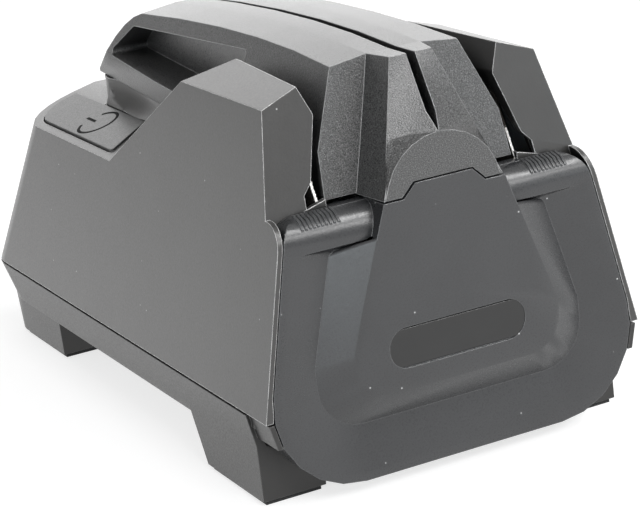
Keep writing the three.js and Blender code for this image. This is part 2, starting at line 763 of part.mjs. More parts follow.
function coverBulk(inset) {
  const backY = coverBackY + (inset > 0 ? overrun : 0);
  const outline = (reduce, top) => {
    const edge = lipWidth + fitGap + inset + reduce;
    const low = coverBottomZ + inset + reduce;
    const radius = coverCornerRadius - inset - reduce;
    const middle = halfWidthAt(valleyLowZ) - edge;
    return rounded([
      [-(halfWidthAt(low) - edge), low, radius], [halfWidthAt(low) - edge, low, radius],
      [middle, valleyLowZ], [halfWidthAt(top) - edge, top, shoulderRoll - inset - reduce],
      [-(halfWidthAt(top) - edge), top, shoulderRoll - inset - reduce], [-middle, valleyLowZ],
    ]);
  };
  const valley = rounded([
    [-valleyHalfLow, valleyBottomZ, valleyCorner], [valleyHalfLow, valleyBottomZ, valleyCorner],
    [valleyHalfLow, valleyLowZ], [valleyHalfTop, valleyTopZ, rimWidth],
    [-valleyHalfTop, valleyTopZ, rimWidth],
    [-valleyHalfLow, valleyLowZ],
  ]);
  const field = loft([
    ringFacing(outline(0, ledgeZ - inset), backY),
    ringFacing(outline(0, ledgeZ - inset), casingFrontY + inset),
    ringFacing(outline(rimWidth, rollFootZ), casingFrontY + inset),
    ringFacing(valley, valleyY + inset),
  ]).intersect(prism('x', rounded([
    [backY, 0], [backY, ledgeZ - inset], [casingFrontY + inset, ledgeZ - inset, shoulderRoll - inset],
    [casingFrontY + inset, 0],
  ].reverse()), -far, far));
  const band = loft([
    ringFacing(valley, backY), ringFacing(valley, valleyY + inset),
    ringOnPlate(plateOutline(0, bandTopZ, lipWidth), inset),
  ]);
  const tab = prism('y', [
    [-plateHalfTop + inset, rollFootZ], [plateHalfTop - inset, rollFootZ],
    [plateHalfTop - inset, plateTopZ - inset], [tabHalfFoot - inset, plateTopZ - inset],
    [tabHalfTop - inset, tabTopZ - inset], [-tabHalfTop + inset, tabTopZ - inset],
    [-tabHalfFoot + inset, plateTopZ - inset], [-plateHalfTop + inset, plateTopZ - inset],
  ], plateTopY - overrun, backY);
  const plate = loft([
    ringFacing(plateOutline(inset, plateTopZ - inset), backY),
    ringOnPlate(plateOutline(inset, plateTopZ - inset), inset),
  ]);
  const face = prism('x', [
    [plateAt(coverBottomZ) + inset, coverBottomZ], [backY, coverBottomZ], [backY, tabTopZ],
    [plateAt(tabTopZ) + inset, tabTopZ],
  ], -far, far);
  return join(field, band, plate, tab.intersect(face));
}

const badgeOutline = (inset) => rounded([
  [-badgeHalfLength, badgeZ - badgeHeight / 2 + inset, badgeHeight / 2 - inset - seatGap],
  [badgeHalfLength, badgeZ - badgeHeight / 2 + inset, badgeHeight / 2 - inset - seatGap],
  [badgeHalfLength, badgeZ + badgeHeight / 2 - inset, badgeHeight / 2 - inset - seatGap],
  [-badgeHalfLength, badgeZ + badgeHeight / 2 - inset, badgeHeight / 2 - inset - seatGap],
].map(([x, z, r]) => [x - Math.sign(x) * inset, z, r]));

function makeCover() {
  const lowBack = block(-far, casingFrontY + coverThickness, 0, far, topZ, coverRimZ);
  const badge = loft([
    ringOnPlate(badgeOutline(0), badgeDepth), ringOnPlate(badgeOutline(0), -overrun),
  ]);
  const ribProfile = rounded([
    [coverBackY + overrun, plateLowZ], [coverBackY + overrun, ledgeZ + gripRibHeight],
    [casingFrontY - gripRibHeight, ledgeZ + gripRibHeight, shoulderRoll + gripRibHeight],
    [casingFrontY - gripRibHeight, plateLowZ],
  ].reverse(), ribSteps);
  const ribZone = block(0, casingFrontY + lipWidth, ledgeZ - shoulderRoll / 2, far, coverBackY - lipWidth,
    topZ);
  const ribs = [];
  for (let i = 0; i < gripRibs; i += 1) {
    const x = gripHalf + (i - (gripRibs - 1) / 2) * gripPitch;
    ribs.push(prism('x', ribProfile, x - gripRibWidth / 2, x + gripRibWidth / 2).intersect(ribZone));
  }
  const clip = (x) => rodX(clipRadius, x - clipWidth / 2, x + clipWidth / 2)
    .subtract(rodX(hookPinRadius + seatGap, x - clipWidth, x + clipWidth))
    .subtract(block(x - clipWidth, 0, -clipMouth, x + clipWidth, clipRadius * 2, clipMouth))
    .translate([0, hingeY, hingeZ]);
  const clipStep = hookWidth / 2 + fitGap + clipWidth / 2;
  const lipBackY = guideFrontAt(ledgeZ) - fitGap;
  const lip = prism('x', [
    [coverBackY - lipWidth, bedFloorZ + seatGap], [lipBackY, bedFloorZ + seatGap],
    [lipBackY, ledgeZ], [coverBackY - lipWidth, ledgeZ],
  ], -(bedHalfWidth - fitGap), bedHalfWidth - fitGap);
  return coverBulk(0)
    .subtract(coverBulk(coverThickness).add(lowBack))
    .subtract(badge)
    .add(lip)
    .add(bothSides(join(...ribs, clip(hookHalf - clipStep), clip(hookHalf + clipStep))));
}

// Knife guide
const crownAt = (arch) => arch + guideCrownRise;
function archStations() {
  const front = [archFrontY, archFrontZ];
  const points = [[columnTopY - overrun, archFrontZ], front];
  const curve = new THREE.QuadraticBezierCurve(
    new THREE.Vector2(...front),
    new THREE.Vector2(archPeakY, archPeakZ * 2 - (archFrontZ + archShoulderZ) / 2),
    new THREE.Vector2(archShoulderY, archShoulderZ),
  );
  for (let i = 1; i <= archSteps; i += 1) {
    const p = curve.getPoint(i / archSteps);
    points.push([p.x, p.y]);
  }
  const tail = new THREE.QuadraticBezierCurve(
    new THREE.Vector2(archShoulderY, archShoulderZ),
    new THREE.Vector2(archTailPullY, archTailPullZ),
    new THREE.Vector2(archRearY, archRearZ),
  );
  for (let i = 1; i <= archSteps; i += 1) {
    const p = tail.getPoint(i / archSteps);
    points.push([p.x, p.y]);
  }
  return points;
}

function guideSection(y, arch) {
  const kneeZ = guideTopZ - (guideBodyHalf - guideTopHalf) / guideSideLean;
  const shoulder = Math.min(guideSideAt(arch), guideBodyHalf);
  const knee = Math.min(kneeZ, arch - seatGap);
  return ringAtY([
    [-guideBodyHalf, ledgeZ - overrun], [guideBodyHalf, ledgeZ - overrun], [guideBodyHalf, knee],
    [shoulder, arch], [guideCrownHalf, crownAt(arch)], [-guideCrownHalf, crownAt(arch)],
    [-shoulder, arch], [-guideBodyHalf, knee],
  ], y);
}

function column() {
  const topZ = crownAt(archFrontZ);
  const edgeAt = (z) => columnTopHalf + columnLean * (topZ - z);
  const rootAt = (z) => columnRootHalf + columnLean * (topZ - z);
  const ease = (share) => domeY + (columnTopY - domeY) * share;
  const edgeYAt = (z) => ease((z - domeFootZ) / (topZ - domeFootZ));
  const arcAt = (z) => domeHalf * Math.sqrt(Math.max(0, 1 - ((z - domeCentreZ) / domeRise) ** 2));
  const section = (z) => {
    const flat = Math.max(arcAt(z), honeSlotHalfFront / 2);
    const flatY = z < domeTopZ ? domeY : ease((z - domeTopZ) / (topZ - domeTopZ));
    const edge = Math.max(edgeAt(z), flat + seatGap);
    const half = [
      [rootAt(z), columnBackY], [edge, edgeYAt(z)],
      [(edge + flat) / 2, flatY + (edgeYAt(z) - flatY) * flareShare], [flat, flatY],
    ];
    const left = half.map(([x, y]) => [-x, y]);
    return ringAtZ([...left, ...half.reverse()], z);
  };
  const rings = [];
  for (let i = 0; i <= domeSteps; i += 1) {
    const turn = (i / domeSteps) * Math.PI / 2;
    rings.push(section(domeFootZ + (domeTopZ - domeFootZ) * Math.sin(turn)));
  }
  for (let i = 1; i <= domeSteps; i += 1) {
    rings.push(section(domeTopZ + ((topZ - domeTopZ) * i) / domeSteps));
  }
  return loft(rings);
}

function makeGuide() {
  const arch = archStations();
  const rearY = arch[arch.length - 1][0];
  const sideProfile = prism('x', [
    [guideFrontAt(guideFrontBottomZ), guideFrontBottomZ], [bedRearY - seatGap, guideFrontBottomZ],
    [bedRearY - seatGap, bandBottomAt(bedRearY)], [rearY, bandBottomAt(rearY)],
    [rearY, topZ], [guideFrontAt(topZ), topZ],
  ], -far, far);
  const body = loft(arch.map(([y, z]) => guideSection(y, z))).intersect(sideProfile);
  const panelOutline = [
    [-panelFootHalf, guideFrontBottomZ], [panelFootHalf, guideFrontBottomZ], [panelWaistHalf, panelWaistZ],
    [guideSideAt(archFrontZ), archFrontZ], [guideCrownHalf, crownAt(archFrontZ)],
    [-guideCrownHalf, crownAt(archFrontZ)], [-guideSideAt(archFrontZ), archFrontZ],
    [-panelWaistHalf, panelWaistZ],
  ];
  const panel = prism('y', panelOutline, columnTopY - overrun, columnBackY + overrun).intersect(prism('x', [
    [guideFrontAt(guideFrontBottomZ), guideFrontBottomZ],
    [guideFrontAt(guideFrontBottomZ) + panelThickness, guideFrontBottomZ],
    [guideFrontAt(topZ) + panelThickness, topZ], [guideFrontAt(topZ), topZ],
  ], -far, far));
  const rail = block(guideRailHalf, underPocketFrontY, bedFloorZ + seatGap,
    guideRailHalf + guideRailWidth, underPocketRearY, guideFrontBottomZ + seatGap);

  const pocketFloorAt = (y) => pocketFloorRearZ + pocketFloorSlope * (y - pocketFloorRearY);
  const pocketLowY = pocketFrontY + pocketFrontLean;
  const pocket = prism('x', rounded([
    [pocketLowY, pocketFloorAt(pocketLowY), pocketCorner],
    [pocketFloorRearY, pocketFloorAt(pocketFloorRearY), pocketCorner / 2],
    [pocketTopRearY, pocketTopRearZ, pocketCorner], [pocketFrontY, pocketTopZ, pocketCorner / 2],
  ]), pocketDepthHalf, far);
  const slotRing = (half, y) => ringAtY([
    [0, honeSlotFloorZ], [half, honeSlotFloorZ + honeSlotVee], [half, topZ], [-half, topZ],
    [-half, honeSlotFloorZ + honeSlotVee],
  ], y);
  const slot = loft([slotRing(honeSlotHalfFront, domeY - overrun), slotRing(honeSlotHalfRear, honeSlotRearY)]);
  const notch = prism('y', [
    [-tabHalfFoot - notchGap * 2, 0], [tabHalfFoot + notchGap * 2, 0],
    [tabHalfFoot + notchGap, plateTopZ + notchGap], [tabHalfTop + notchGap, tabTopZ + notchGap],
    [-tabHalfTop - notchGap, tabTopZ + notchGap], [-tabHalfFoot - notchGap, plateTopZ + notchGap],
  ], domeY - overrun, guideFrontAt(tabTopZ));
  const bay = (underPocketRearY - underPocketFrontY - underRib * (underRibs - 1)) / underRibs;
  const cores = [];
  for (let i = 0; i < underRibs; i += 1) {
    const y = underPocketFrontY + i * (bay + underRib);
    cores.push(block(-underPocketHalf, y, 0, underPocketHalf, y + bay, underPocketTopZ));
  }
  const chamber = block(-honeRodLength / 4, honeRodY - honeRodPitch, underPocketTopZ + underRib,
    honeRodLength / 4, honeRodY + honeRodPitch, honeChamberTopZ);
  const sockets = honeRods(honeRodRadius + seatGap, honeRodLength + seatGap * 2);
  return join(body, panel, column(), bothSides(rail))
    .subtract(join(bothSides(pocket), slot, notch, ...cores, chamber, ...sockets));
}

function honeRods(radius, length) {
  return [-1, 1].map((side) => uprightRod(radius, -length / 2, length / 2, roundSteps / 2)
    .rotate([0, (side * honeRodTilt * 180) / Math.PI, 0])
    .translate([0, honeRodY + (side * honeRodPitch) / 2, honeRodZ]));
}

// Power button with its flange and stem, switch, board and spring
const switchTopZ = boardTopZ + seatGap + switchHeight;
const plungerTopZ = switchTopZ - plungerDip + plungerHeight;
const buttonStemZ = plungerTopZ + seatGap;
const atButton = (solid) => solid.translate([-buttonCentreHalf, buttonCentreY, 0]);
function makeButton() {
  const under = (drop) => underRoof(drop, buttonFrontY - overrun);
  const foot = casingWall + seatGap + buttonFlange;
  const outline = (grow) => prism('z', buttonOutline(grow, -1), buttonStemZ, topZ);
  const cap = outline(0).intersect(under(-buttonProud));
  const flange = outline(buttonGap * 2).intersect(under(casingWall + seatGap));
  const hollow = outline(-casingWall).intersect(under(casingWall - buttonProud));
  const stemTopZ = deckAt(buttonCentreHalf + buttonCollarRadius);
  const stem = atButton(uprightRod(buttonStemRadius, buttonStemZ, stemTopZ)
    .add(uprightRod(buttonCollarRadius, buttonCollarZ, stemTopZ)));
  return cap.add(flange).subtract(under(foot)).subtract(hollow).add(stem);
}

function makeSwitch() {
  return atButton(block(-switchWidth / 2, -switchLength / 2, boardTopZ + seatGap,
    switchWidth / 2, switchLength / 2, switchTopZ)
    .subtract(uprightRod(plungerRadius + runningGap, plungerTopZ - plungerHeight - buttonTravel - fitGap,
      topZ)));
}

const boardPosts = [[boardPostHalf, boardPostY], [boardPostHalf, boardPostRearY],
  [boardPostOuterHalf, boardPostFrontY]];
const atBoardPosts = (solid) => join(...boardPosts.map(([x, y]) => solid.translate([-x, y, 0])));
function makeBoard() {
  const plate = block(-boardOuterHalf, boardFrontY, boardTopZ - boardThickness,
    -boardInnerHalf, boardRearY, boardTopZ);
  const terminal = (y) => block(-boardInnerHalf - terminalWidth, y - terminalLength / 2, boardTopZ,
    -boardInnerHalf, y + terminalLength / 2, boardTopZ + terminalHeight);
  const chip = block(-buttonCentreHalf - boardChipLength / 2, boardPostY, boardTopZ,
    -buttonCentreHalf + boardChipLength / 2, boardPostY + boardChipLength, boardTopZ + boardChipHeight);
  const can = uprightRod(boardChipHeight, boardTopZ - boardThickness, boardTopZ + boardChipLength, smallSteps)
    .translate([-buttonCentreHalf, boardRearY - boardChipLength, 0]);
  return join(plate, terminal(motorTerminalY), terminal(inletTerminalY), chip, can)
    .subtract(atBoardPosts(uprightRod(boardNeckRadius + seatGap, 0, boardTopZ + seatGap, smallSteps)));
}
const boardPost = () => uprightRod(boardPostRadius, boardTopZ + seatGap, ledgeZ + overrun, smallSteps)
  .add(uprightRod(boardNeckRadius, boardTopZ - boardThickness - seatGap, deckEdgeZ, screwSteps));

function coil(radius, wire, turns, from, to) {
  const rings = [];
  const total = Math.round(turns * coilSteps);
  for (let i = 0; i <= total; i += 1) {
    const angle = (i / coilSteps) * 2 * Math.PI;
    const out = new THREE.Vector3(Math.cos(angle), Math.sin(angle), 0);
    const centre = out.clone().multiplyScalar(radius).setZ(from + ((to - from) * i) / total);
    const along = new THREE.Vector3(-radius * Math.sin(angle), radius * Math.cos(angle),
      (to - from) / (turns * 2 * Math.PI)).normalize();
    const side = new THREE.Vector3().crossVectors(along, out);
    rings.push(circleRing(centre, out, side, wire / 2, coilSides));
  }
  return loft(rings);
}

function circleRing(centre, right, up, radius, sides) {
  const ring = [];
  for (let k = 0; k < sides; k += 1) {
    const angle = (k / sides) * 2 * Math.PI;
    ring.push(centre.clone().addScaledVector(right, radius * Math.cos(angle))
      .addScaledVector(up, radius * Math.sin(angle)));
  }
  return ring;
}

function lead(points, radius) {
  const curve = new THREE.CatmullRomCurve3(points.map((p) => new THREE.Vector3(...p)));
  const frames = curve.computeFrenetFrames(leadSteps, false);
  const rings = frames.tangents.map((t, i) => circleRing(
    curve.getPointAt(i / leadSteps), frames.normals[i], frames.binormals[i], radius, leadSides,
  ));
  return loft(rings);
}

// Screw with its head at the low end, upright
const screw = (radius, headRadius, head, length) => uprightRod(headRadius, 0, head, smallSteps)
  .add(uprightRod(radius, head / 2, head + length, screwSteps));

// Belt drive in its own frame: y is the roller axis, z runs up the belts
const beltSeat = beltHalf + beltThickness + seatGap;
const driveHalf = beltSeat + driveRollerRadius;
const idlerHalf = beltSeat + idlerRadius;
const gearModule = driveHalf / (pinionTeeth + idlerTeeth);
const gearFront = plateDepth + plateThick + gearGap;
const rearPlateFront = gearFront + gearWidth + gearGap;
const rearPlateBack = rearPlateFront + plateThick;
const motorFace = rearPlateBack + seatGap;
const at = (solid, x, z) => solid.translate([x, 0, z]);
const plateHole = (radius, x, z) => at(rodSolid(radius, -far, far, smallSteps), x, z);

function loopOutline(offset) {
  const top = idlerRadius + seatGap + offset;
  const low = driveRollerRadius + seatGap + offset;
  const dx = idlerHalf - driveHalf;
  const dz = idlerRise - driveDrop;
  const axis = Math.atan2(dz, dx);
  const swing = Math.acos((low - top) / Math.hypot(dx, dz));
  const points = [];
  for (let i = 0; i <= cornerSteps; i += 1) {
    const angle = axis - swing + (2 * swing * i) / cornerSteps;
    points.push([idlerHalf + top * Math.cos(angle), idlerRise + top * Math.sin(angle)]);
  }
  for (let i = 0; i <= cornerSteps; i += 1) {
    const angle = axis + swing + ((2 * Math.PI - 2 * swing) * i) / cornerSteps;
    points.push([driveHalf + low * Math.cos(angle), driveDrop + low * Math.sin(angle)]);
  }
  return points;
}

const makeBelt = () => prism('y', loopOutline(beltThickness), 0, beltWidth)
  .subtract(prism('y', loopOutline(0), -overrun, beltWidth + overrun));

function gear(teeth, turn, bore) {
  const pitch = (gearModule * teeth) / 2;
  const alpha = (pressureAngle * Math.PI) / 180;
  const base = pitch * Math.cos(alpha);
  const tip = pitch + gearModule;
  const root = pitch - gearModule * dedendumShare;
  const involute = (angle) => Math.tan(angle) - angle;
  const halfAtPitch = Math.PI / (2 * teeth) - gearBacklash / (2 * pitch);
  const halfAt = (r) => halfAtPitch + involute(alpha) - involute(Math.acos(Math.min(1, base / r)));
  const radii = [root];
  const start = Math.max(base, root);
  for (let i = 0; i <= flankSteps; i += 1) radii.push(start + ((tip - start) * i) / flankSteps);
  const points = [];
  for (let t = 0; t < teeth; t += 1) {
    const middle = turn + (t / teeth) * 2 * Math.PI;
    for (const r of radii) points.push([r, middle - halfAt(Math.max(r, start))]);
    for (const r of [...radii].reverse()) points.push([r, middle + halfAt(Math.max(r, start))]);
  }
  const outline = points.map(([r, angle]) => [r * Math.cos(angle), r * Math.sin(angle)]);
  return prism('y', outline, gearFront, gearFront + gearWidth).subtract(rodSolid(bore, -far, far));
}

function crowned(radius, shaft, back) {
  const roller = toSolid(turned([
    [0, 0], [radius - rollerCrown, 0], [radius, beltWidth / 2], [radius - rollerCrown, beltWidth],
    [0, beltWidth],
  ]));
  return back > beltWidth ? roller.add(rodSolid(shaft, beltWidth / 2, back)) : roller;
}
const makeDriveRoller = () => at(crowned(driveRollerRadius, shaftRadius, motorFace + shaftTail),
  driveHalf, driveDrop);
const makeIdlerRoller = () => at(crowned(idlerRadius, idlerRadius - rollerCrown, beltWidth)
  .subtract(rodSolid(axleRadius + runningGap, -overrun, far)), idlerHalf, idlerRise);

const postSpots = [[postInnerHalf, postDrop], [postOuterHalf, postDrop]];
const slotHalf = carriageTongueHalf + seatGap;
function makeMechanismPlate() {
  const edge = (z) => plateHalf - plateLean * z;
  const outline = [
    [0, plateDrop], [edge(plateDrop), plateDrop], [edge(earRise), earRise], [beltHalf, earRise],
    [beltHalf, plateRise], [0, plateRise],
  ];
  const plate = prism('y', outline, plateDepth, plateDepth + plateThick);
  const shelf = block(idlerHalf - carriageHalf, beltWidth + fitGap, shelfRise - shelfThickness,
    idlerHalf + carriageHalf, plateDepth + plateThick / 2, shelfRise);
  const guideBar = (x0, x1) => block(x0, beltWidth + carriageGap, shelfRise, x1,
    plateDepth + plateThick / 2, earRise);
  const inner = guideBar(idlerHalf - carriageHalf - seatGap - barWidth, idlerHalf - carriageHalf - seatGap);
  const outer = guideBar(idlerHalf + carriageHalf + seatGap, idlerHalf + carriageHalf + seatGap + barWidth);
  const tongueSlot = block(idlerHalf - slotHalf, 0,
    idlerRise - carriageTongueRise - carriageTravel - seatGap,
    idlerHalf + slotHalf, far, idlerRise + carriageTongueRise + seatGap);
  const holes = postSpots.map(([x, z]) => plateHole(screwRadius + seatGap, x, z));
  return bothSides(join(plate, shelf, inner, outer)
    .subtract(join(
      plateHole(shaftRadius + runningGap + bushWall + seatGap, driveHalf, driveDrop),
      plateHole(studRadius + seatGap, driveHalf / 2, driveDrop), tongueSlot, ...holes,
    )));
}

function makeRearPlate() {
  const outline = rounded([
    [-rearPlateHalf, rearPlateDrop, rearPlateCorner], [rearPlateHalf, rearPlateDrop, rearPlateCorner],
    [rearPlateHalf, plateRise, rearPlateCorner], [-rearPlateHalf, plateRise, rearPlateCorner],
  ], ribSteps);
  const plate = prism('y', outline, rearPlateFront, rearPlateBack);
  const posts = postSpots.map(([x, z]) => at(rodSolid(postRadius, plateDepth + plateThick + seatGap,
    rearPlateFront + seatGap, smallSteps), x, z));
  const holes = postSpots.map(([x, z]) => at(rodSolid(screwRadius + seatGap, 0, rearPlateFront,
    screwSteps), x, z));
  return plate.add(bothSides(join(...posts))).subtract(join(
    bothSides(join(
      plateHole(shaftRadius + runningGap + bushWall + seatGap, driveHalf, driveDrop),
      plateHole(studRadius + seatGap, driveHalf / 2, driveDrop), ...holes,
    )),
    plateHole(motorNeckRadius + seatGap, 0, driveDrop),
    plateHole(screwRadius + seatGap, 0, driveDrop + motorScrewRise),
    plateHole(screwRadius + seatGap, 0, driveDrop - motorScrewRise),
  ));
}

const bush = (from, to, flangeFrom) => at(
  rodSolid(shaftRadius + runningGap + bushWall, from, to, smallSteps)
    .add(rodSolid(bushFlangeRadius, flangeFrom, flangeFrom + bushFlange, smallSteps))
    .subtract(rodSolid(shaftRadius + runningGap, -far, far, smallSteps)), driveHalf, driveDrop,
);
const frontFlange = plateDepth - seatGap - bushFlange;
const makeFrontBush = () => bush(frontFlange, plateDepth + plateThick, frontFlange);
const makeRearBush = () => bush(rearPlateFront, motorFace + bushFlange, motorFace);

function makeMotor() {
  const tail = motorFace + motorLength;
  const body = toSolid(turned([
    [0, rearPlateFront], [motorNeckRadius, rearPlateFront], [motorNeckRadius, motorFace],
    [motorRadius - motorChamfer, motorFace], [motorRadius, motorFace + motorChamfer],
    [motorRadius, tail - motorChamfer], [motorRadius - motorChamfer, tail], [motorTailRadius, tail],
    [motorTailRadius, tail + motorTail], [0, tail + motorTail],
  ]));
  const bores = [1, -1].map((side) => rodSolid(screwRadius + seatGap, 0, motorFace + postRadius * 2)
    .translate([0, 0, side * motorScrewRise]));
  return at(body.subtract(join(rodSolid(motorShaftRadius + runningGap, 0, motorFace + motorNeck), ...bores)),
    0, driveDrop);
}

const laidScrew = (front, back, x, z) => at(screw(screwRadius, screwHeadRadius, screwHead,
  back - front - screwHead).rotate([-90, 0, 0]).translate([0, front, 0]), x, z);
const makeMotorScrew = (side) => laidScrew(rearPlateFront - seatGap - screwHead, motorFace + postRadius,
  0, driveDrop + side * motorScrewRise);
const makePlateScrew = ([x, z]) => laidScrew(plateDepth - seatGap - screwHead, gearFront + gearWidth / 2,
  x, z);

function makeCarriage() {
  const front = beltWidth + carriageGap;
  const tongueBack = plateDepth + plateThick + seatGap;
  const body = block(idlerHalf - carriageHalf, front, tensionSpringTop + seatGap,
    idlerHalf + carriageHalf, front + carriageDepth, idlerRise + carriageOverhang);
  const tongue = block(idlerHalf - carriageTongueHalf, front, idlerRise - carriageTongueRise,
    idlerHalf + carriageTongueHalf, tongueBack + carriageHead, idlerRise + carriageTongueRise);
  const head = block(idlerHalf - carriageTongueHalf * 2, tongueBack, idlerRise - carriageTongueRise,
    idlerHalf + carriageTongueHalf * 2, tongueBack + carriageHead, idlerRise + carriageTongueRise);
  const clipBack = -fitGap;
  const axle = rodSolid(axleRadius, clipBack - axleClip * 2, front + carriageDepth / 2)
    .add(rodSolid(axleClipRadius, clipBack - axleClip, clipBack));
  return join(body, tongue, head, at(axle, idlerHalf, idlerRise));
}

const makeTensionSpring = () => coil(tensionSpringRadius, tensionSpringWire, tensionSpringTurns,
  shelfRise + seatGap + tensionSpringWire / 2, tensionSpringTop - tensionSpringWire / 2)
  .translate([idlerHalf, tensionSpringDepth, 0]);

const makePinion = () => at(gear(pinionTeeth, 0, motorShaftRadius / 2)
  .add(rodSolid(motorShaftRadius, gearFront - gearGap / 2, motorFace + motorNeck / 2)), 0, driveDrop);
const makeIdlerGear = () => at(gear(idlerTeeth, Math.PI / idlerTeeth, studRadius + runningGap),
  driveHalf / 2, driveDrop);
const makeDriveGear = () => at(gear(pinionTeeth, 0, shaftRadius + runningGap), driveHalf, driveDrop);
const makeStud = () => at(rodSolid(studRadius, plateDepth, rearPlateBack, smallSteps), driveHalf / 2,
  driveDrop);

// Low-voltage inlet and the leads
function makeInlet() {
  const low = inletZ - inletHeight / 2;
  const high = inletZ + inletHeight / 2;
  const innerY = rearAt(inletZ) - inletDepth;
  const inner = casingWall + seatGap;
  const profile = (out, spread) => [
    [innerY, low - spread], [rearAt(low - spread) - out, low - spread],
    [rearAt(high + spread) - out, high + spread], [innerY, high + spread],
  ];
  const body = prism('x', profile(seatGap, 0), -inletHalf, inletHalf);
  const ears = prism('x', profile(inner, 0), -inletHalf - inletEar, inletHalf + inletEar);
  const bore = rodSolid(inletBoreRadius, rearAt(inletZ) - inletBoreDepth, far * 2).translate([0, 0, inletZ]);
  const pin = rodSolid(inletPinRadius, rearAt(inletZ) - inletBoreDepth - seatGap,
    rearAt(inletZ) - inletBoreRadius, coilSteps).translate([0, 0, inletZ]);
  return body.add(ears).subtract(bore).add(pin);
}

const leadZ = boardTopZ + terminalHeight / 2;
const leadTurn = boardInnerHalf / 2;
function makeInletLead() {
  const start = rearAt(inletZ) - inletDepth - seatGap;
  return lead([
    [0, start, inletZ], [-leadRadius, start - overrun, inletZ],
    [-leadTurn, (start + inletTerminalY) / 2, (inletZ + leadZ) / 2],
    [-boardInnerHalf + overrun / 3, inletTerminalY, leadZ],
    [-boardInnerHalf + fitGap, inletTerminalY, leadZ],
  ], leadRadius);
}

function makeMotorLead() {
  const tail = motorFace + motorLength + motorTail + seatGap;
  const leanAxis = new THREE.Vector3(1, 0, 0);
  const start = new THREE.Vector3(0, tail, driveDrop).applyAxisAngle(leanAxis, -beltLeanAngle);
  const y = start.y + beltFrontY;
  const z = start.z + ledgeZ;
  return lead([
    [0, y, z], [-leadRadius, y + overrun, z - leadRadius],
    [-leadTurn, (y + motorTerminalY) / 2, (z + leadZ) / 2],
    [-boardInnerHalf + overrun / 3, motorTerminalY, leadZ],
    [-boardInnerHalf + fitGap, motorTerminalY, leadZ],
  ], leadRadius);
}

// Foot pads and case screws
const padTop = padThickness - seatGap;
const makeFrontPad = () => prism('z', frontFootOutline(0, padInset), 0, padTop);
const makeRearPad = () => prism('z', rearFootOutline(0, padInset), 0, padTop);
const caseScrewLength = seamZ + caseScrewGrip - seatGap - baseUnderZ - caseScrewHead;
const makeCaseScrew = ([x, y]) => screw(caseScrewRadius, caseScrewHeadRadius, caseScrewHead, caseScrewLength)
  .translate([x, y, baseUnderZ]);

// Assembly: the belt drive is a leaning group inside the sharpener
const group = new THREE.Group();
const drive = new THREE.Group();
drive.position.set(0, beltFrontY, ledgeZ);
drive.rotation.x = -beltLeanAngle;
group.add(drive);

const plastic = (color, roughness) => new THREE.MeshStandardMaterial({ color, roughness });
const metal = (color, roughness) => new THREE.MeshStandardMaterial({ color, roughness, metalness: 1 });
function add(parent, name, solid, material) {
  const mesh = new THREE.Mesh(toGeometry(solid), material.clone());
  mesh.name = name;
  parent.add(mesh);
}
function addPair(parent, name, solid, material) {
  add(parent, `right_${name}`, solid, material);
  add(parent, `left_${name}`, mirror(solid), material);
}
const shellPlastic = plastic('#4a4b4b', 0.55);
const rubber = plastic('#1d1d1f', 0.9);
const blackPlastic = plastic('#26272a', 0.5);
const whitePlastic = plastic('#e6e4dd', 0.5);
const framePlastic = plastic('#6d7276', 0.6);
const steel = metal('#a9adb0', 0.35);
const brass = metal('#b3925a', 0.4);
const [frontBoss, rearBoss] = bossAt;

add(group, 'upper_casing', makeCasing(), shellPlastic);
add(group, 'base_tray', makeBase(), plastic('#434444', 0.6));
addPair(group, 'front_pad', makeFrontPad(), rubber);
addPair(group, 'rear_pad', makeRearPad(), rubber);
addPair(group, 'front_case_screw', makeCaseScrew(frontBoss), steel);
addPair(group, 'rear_case_screw', makeCaseScrew(rearBoss), steel);
add(group, 'front_cover', makeCover(), plastic('#3f4244', 0.5));
add(group, 'knife_guide', makeGuide(), plastic('#4c4e4e', 0.5));
const [frontRod, rearRod] = honeRods(honeRodRadius, honeRodLength);
add(group, 'front_honing_rod', frontRod, plastic('#efece2', 0.7));
add(group, 'rear_honing_rod', rearRod, plastic('#efece2', 0.7));
add(group, 'power_button', makeButton(), plastic('#3d3f40', 0.55));
add(group, 'button_spring', atButton(coil(buttonSpringRadius, springWire, springTurns,
  switchTopZ + seatGap + springWire / 2, buttonCollarZ - seatGap - springWire / 2)), steel);
add(group, 'switch_plunger', atButton(uprightRod(plungerRadius, plungerTopZ - plungerHeight, plungerTopZ,
  smallSteps)), whitePlastic);
add(group, 'power_switch', makeSwitch(), blackPlastic);
add(group, 'control_board', makeBoard(), plastic('#2e5a3c', 0.6));
add(group, 'power_inlet', makeInlet(), blackPlastic);
add(group, 'inlet_lead', makeInletLead(), plastic('#7a1f1c', 0.6));
add(group, 'motor_lead', makeMotorLead(), plastic('#1f2f7a', 0.6));

add(drive, 'mechanism_plate', makeMechanismPlate(), framePlastic);
add(drive, 'gear_plate', makeRearPlate(), framePlastic);
addPair(drive, 'inner_plate_screw', makePlateScrew(postSpots[0]), steel);
addPair(drive, 'outer_plate_screw', makePlateScrew(postSpots[1]), steel);
addPair(drive, 'front_bush', makeFrontBush(), brass);
addPair(drive, 'rear_bush', makeRearBush(), brass);
addPair(drive, 'gear_stud', makeStud(), steel);
add(drive, 'motor', makeMotor(), metal('#8f9498', 0.4));
add(drive, 'upper_motor_screw', makeMotorScrew(1), steel);
add(drive, 'lower_motor_screw', makeMotorScrew(-1), steel);
add(drive, 'motor_pinion', makePinion(), brass);
addPair(drive, 'idler_gear', makeIdlerGear(), whitePlastic);
addPair(drive, 'drive_gear', makeDriveGear(), whitePlastic);
addPair(drive, 'drive_roller', makeDriveRoller(), steel);
addPair(drive, 'belt', makeBelt(), plastic('#6b4a35', 0.9));
addPair(drive, 'tension_slide', makeCarriage(), blackPlastic);
addPair(drive, 'tension_spring', makeTensionSpring(), steel);
addPair(drive, 'idler_roller', makeIdlerRoller(), steel);

export default group;
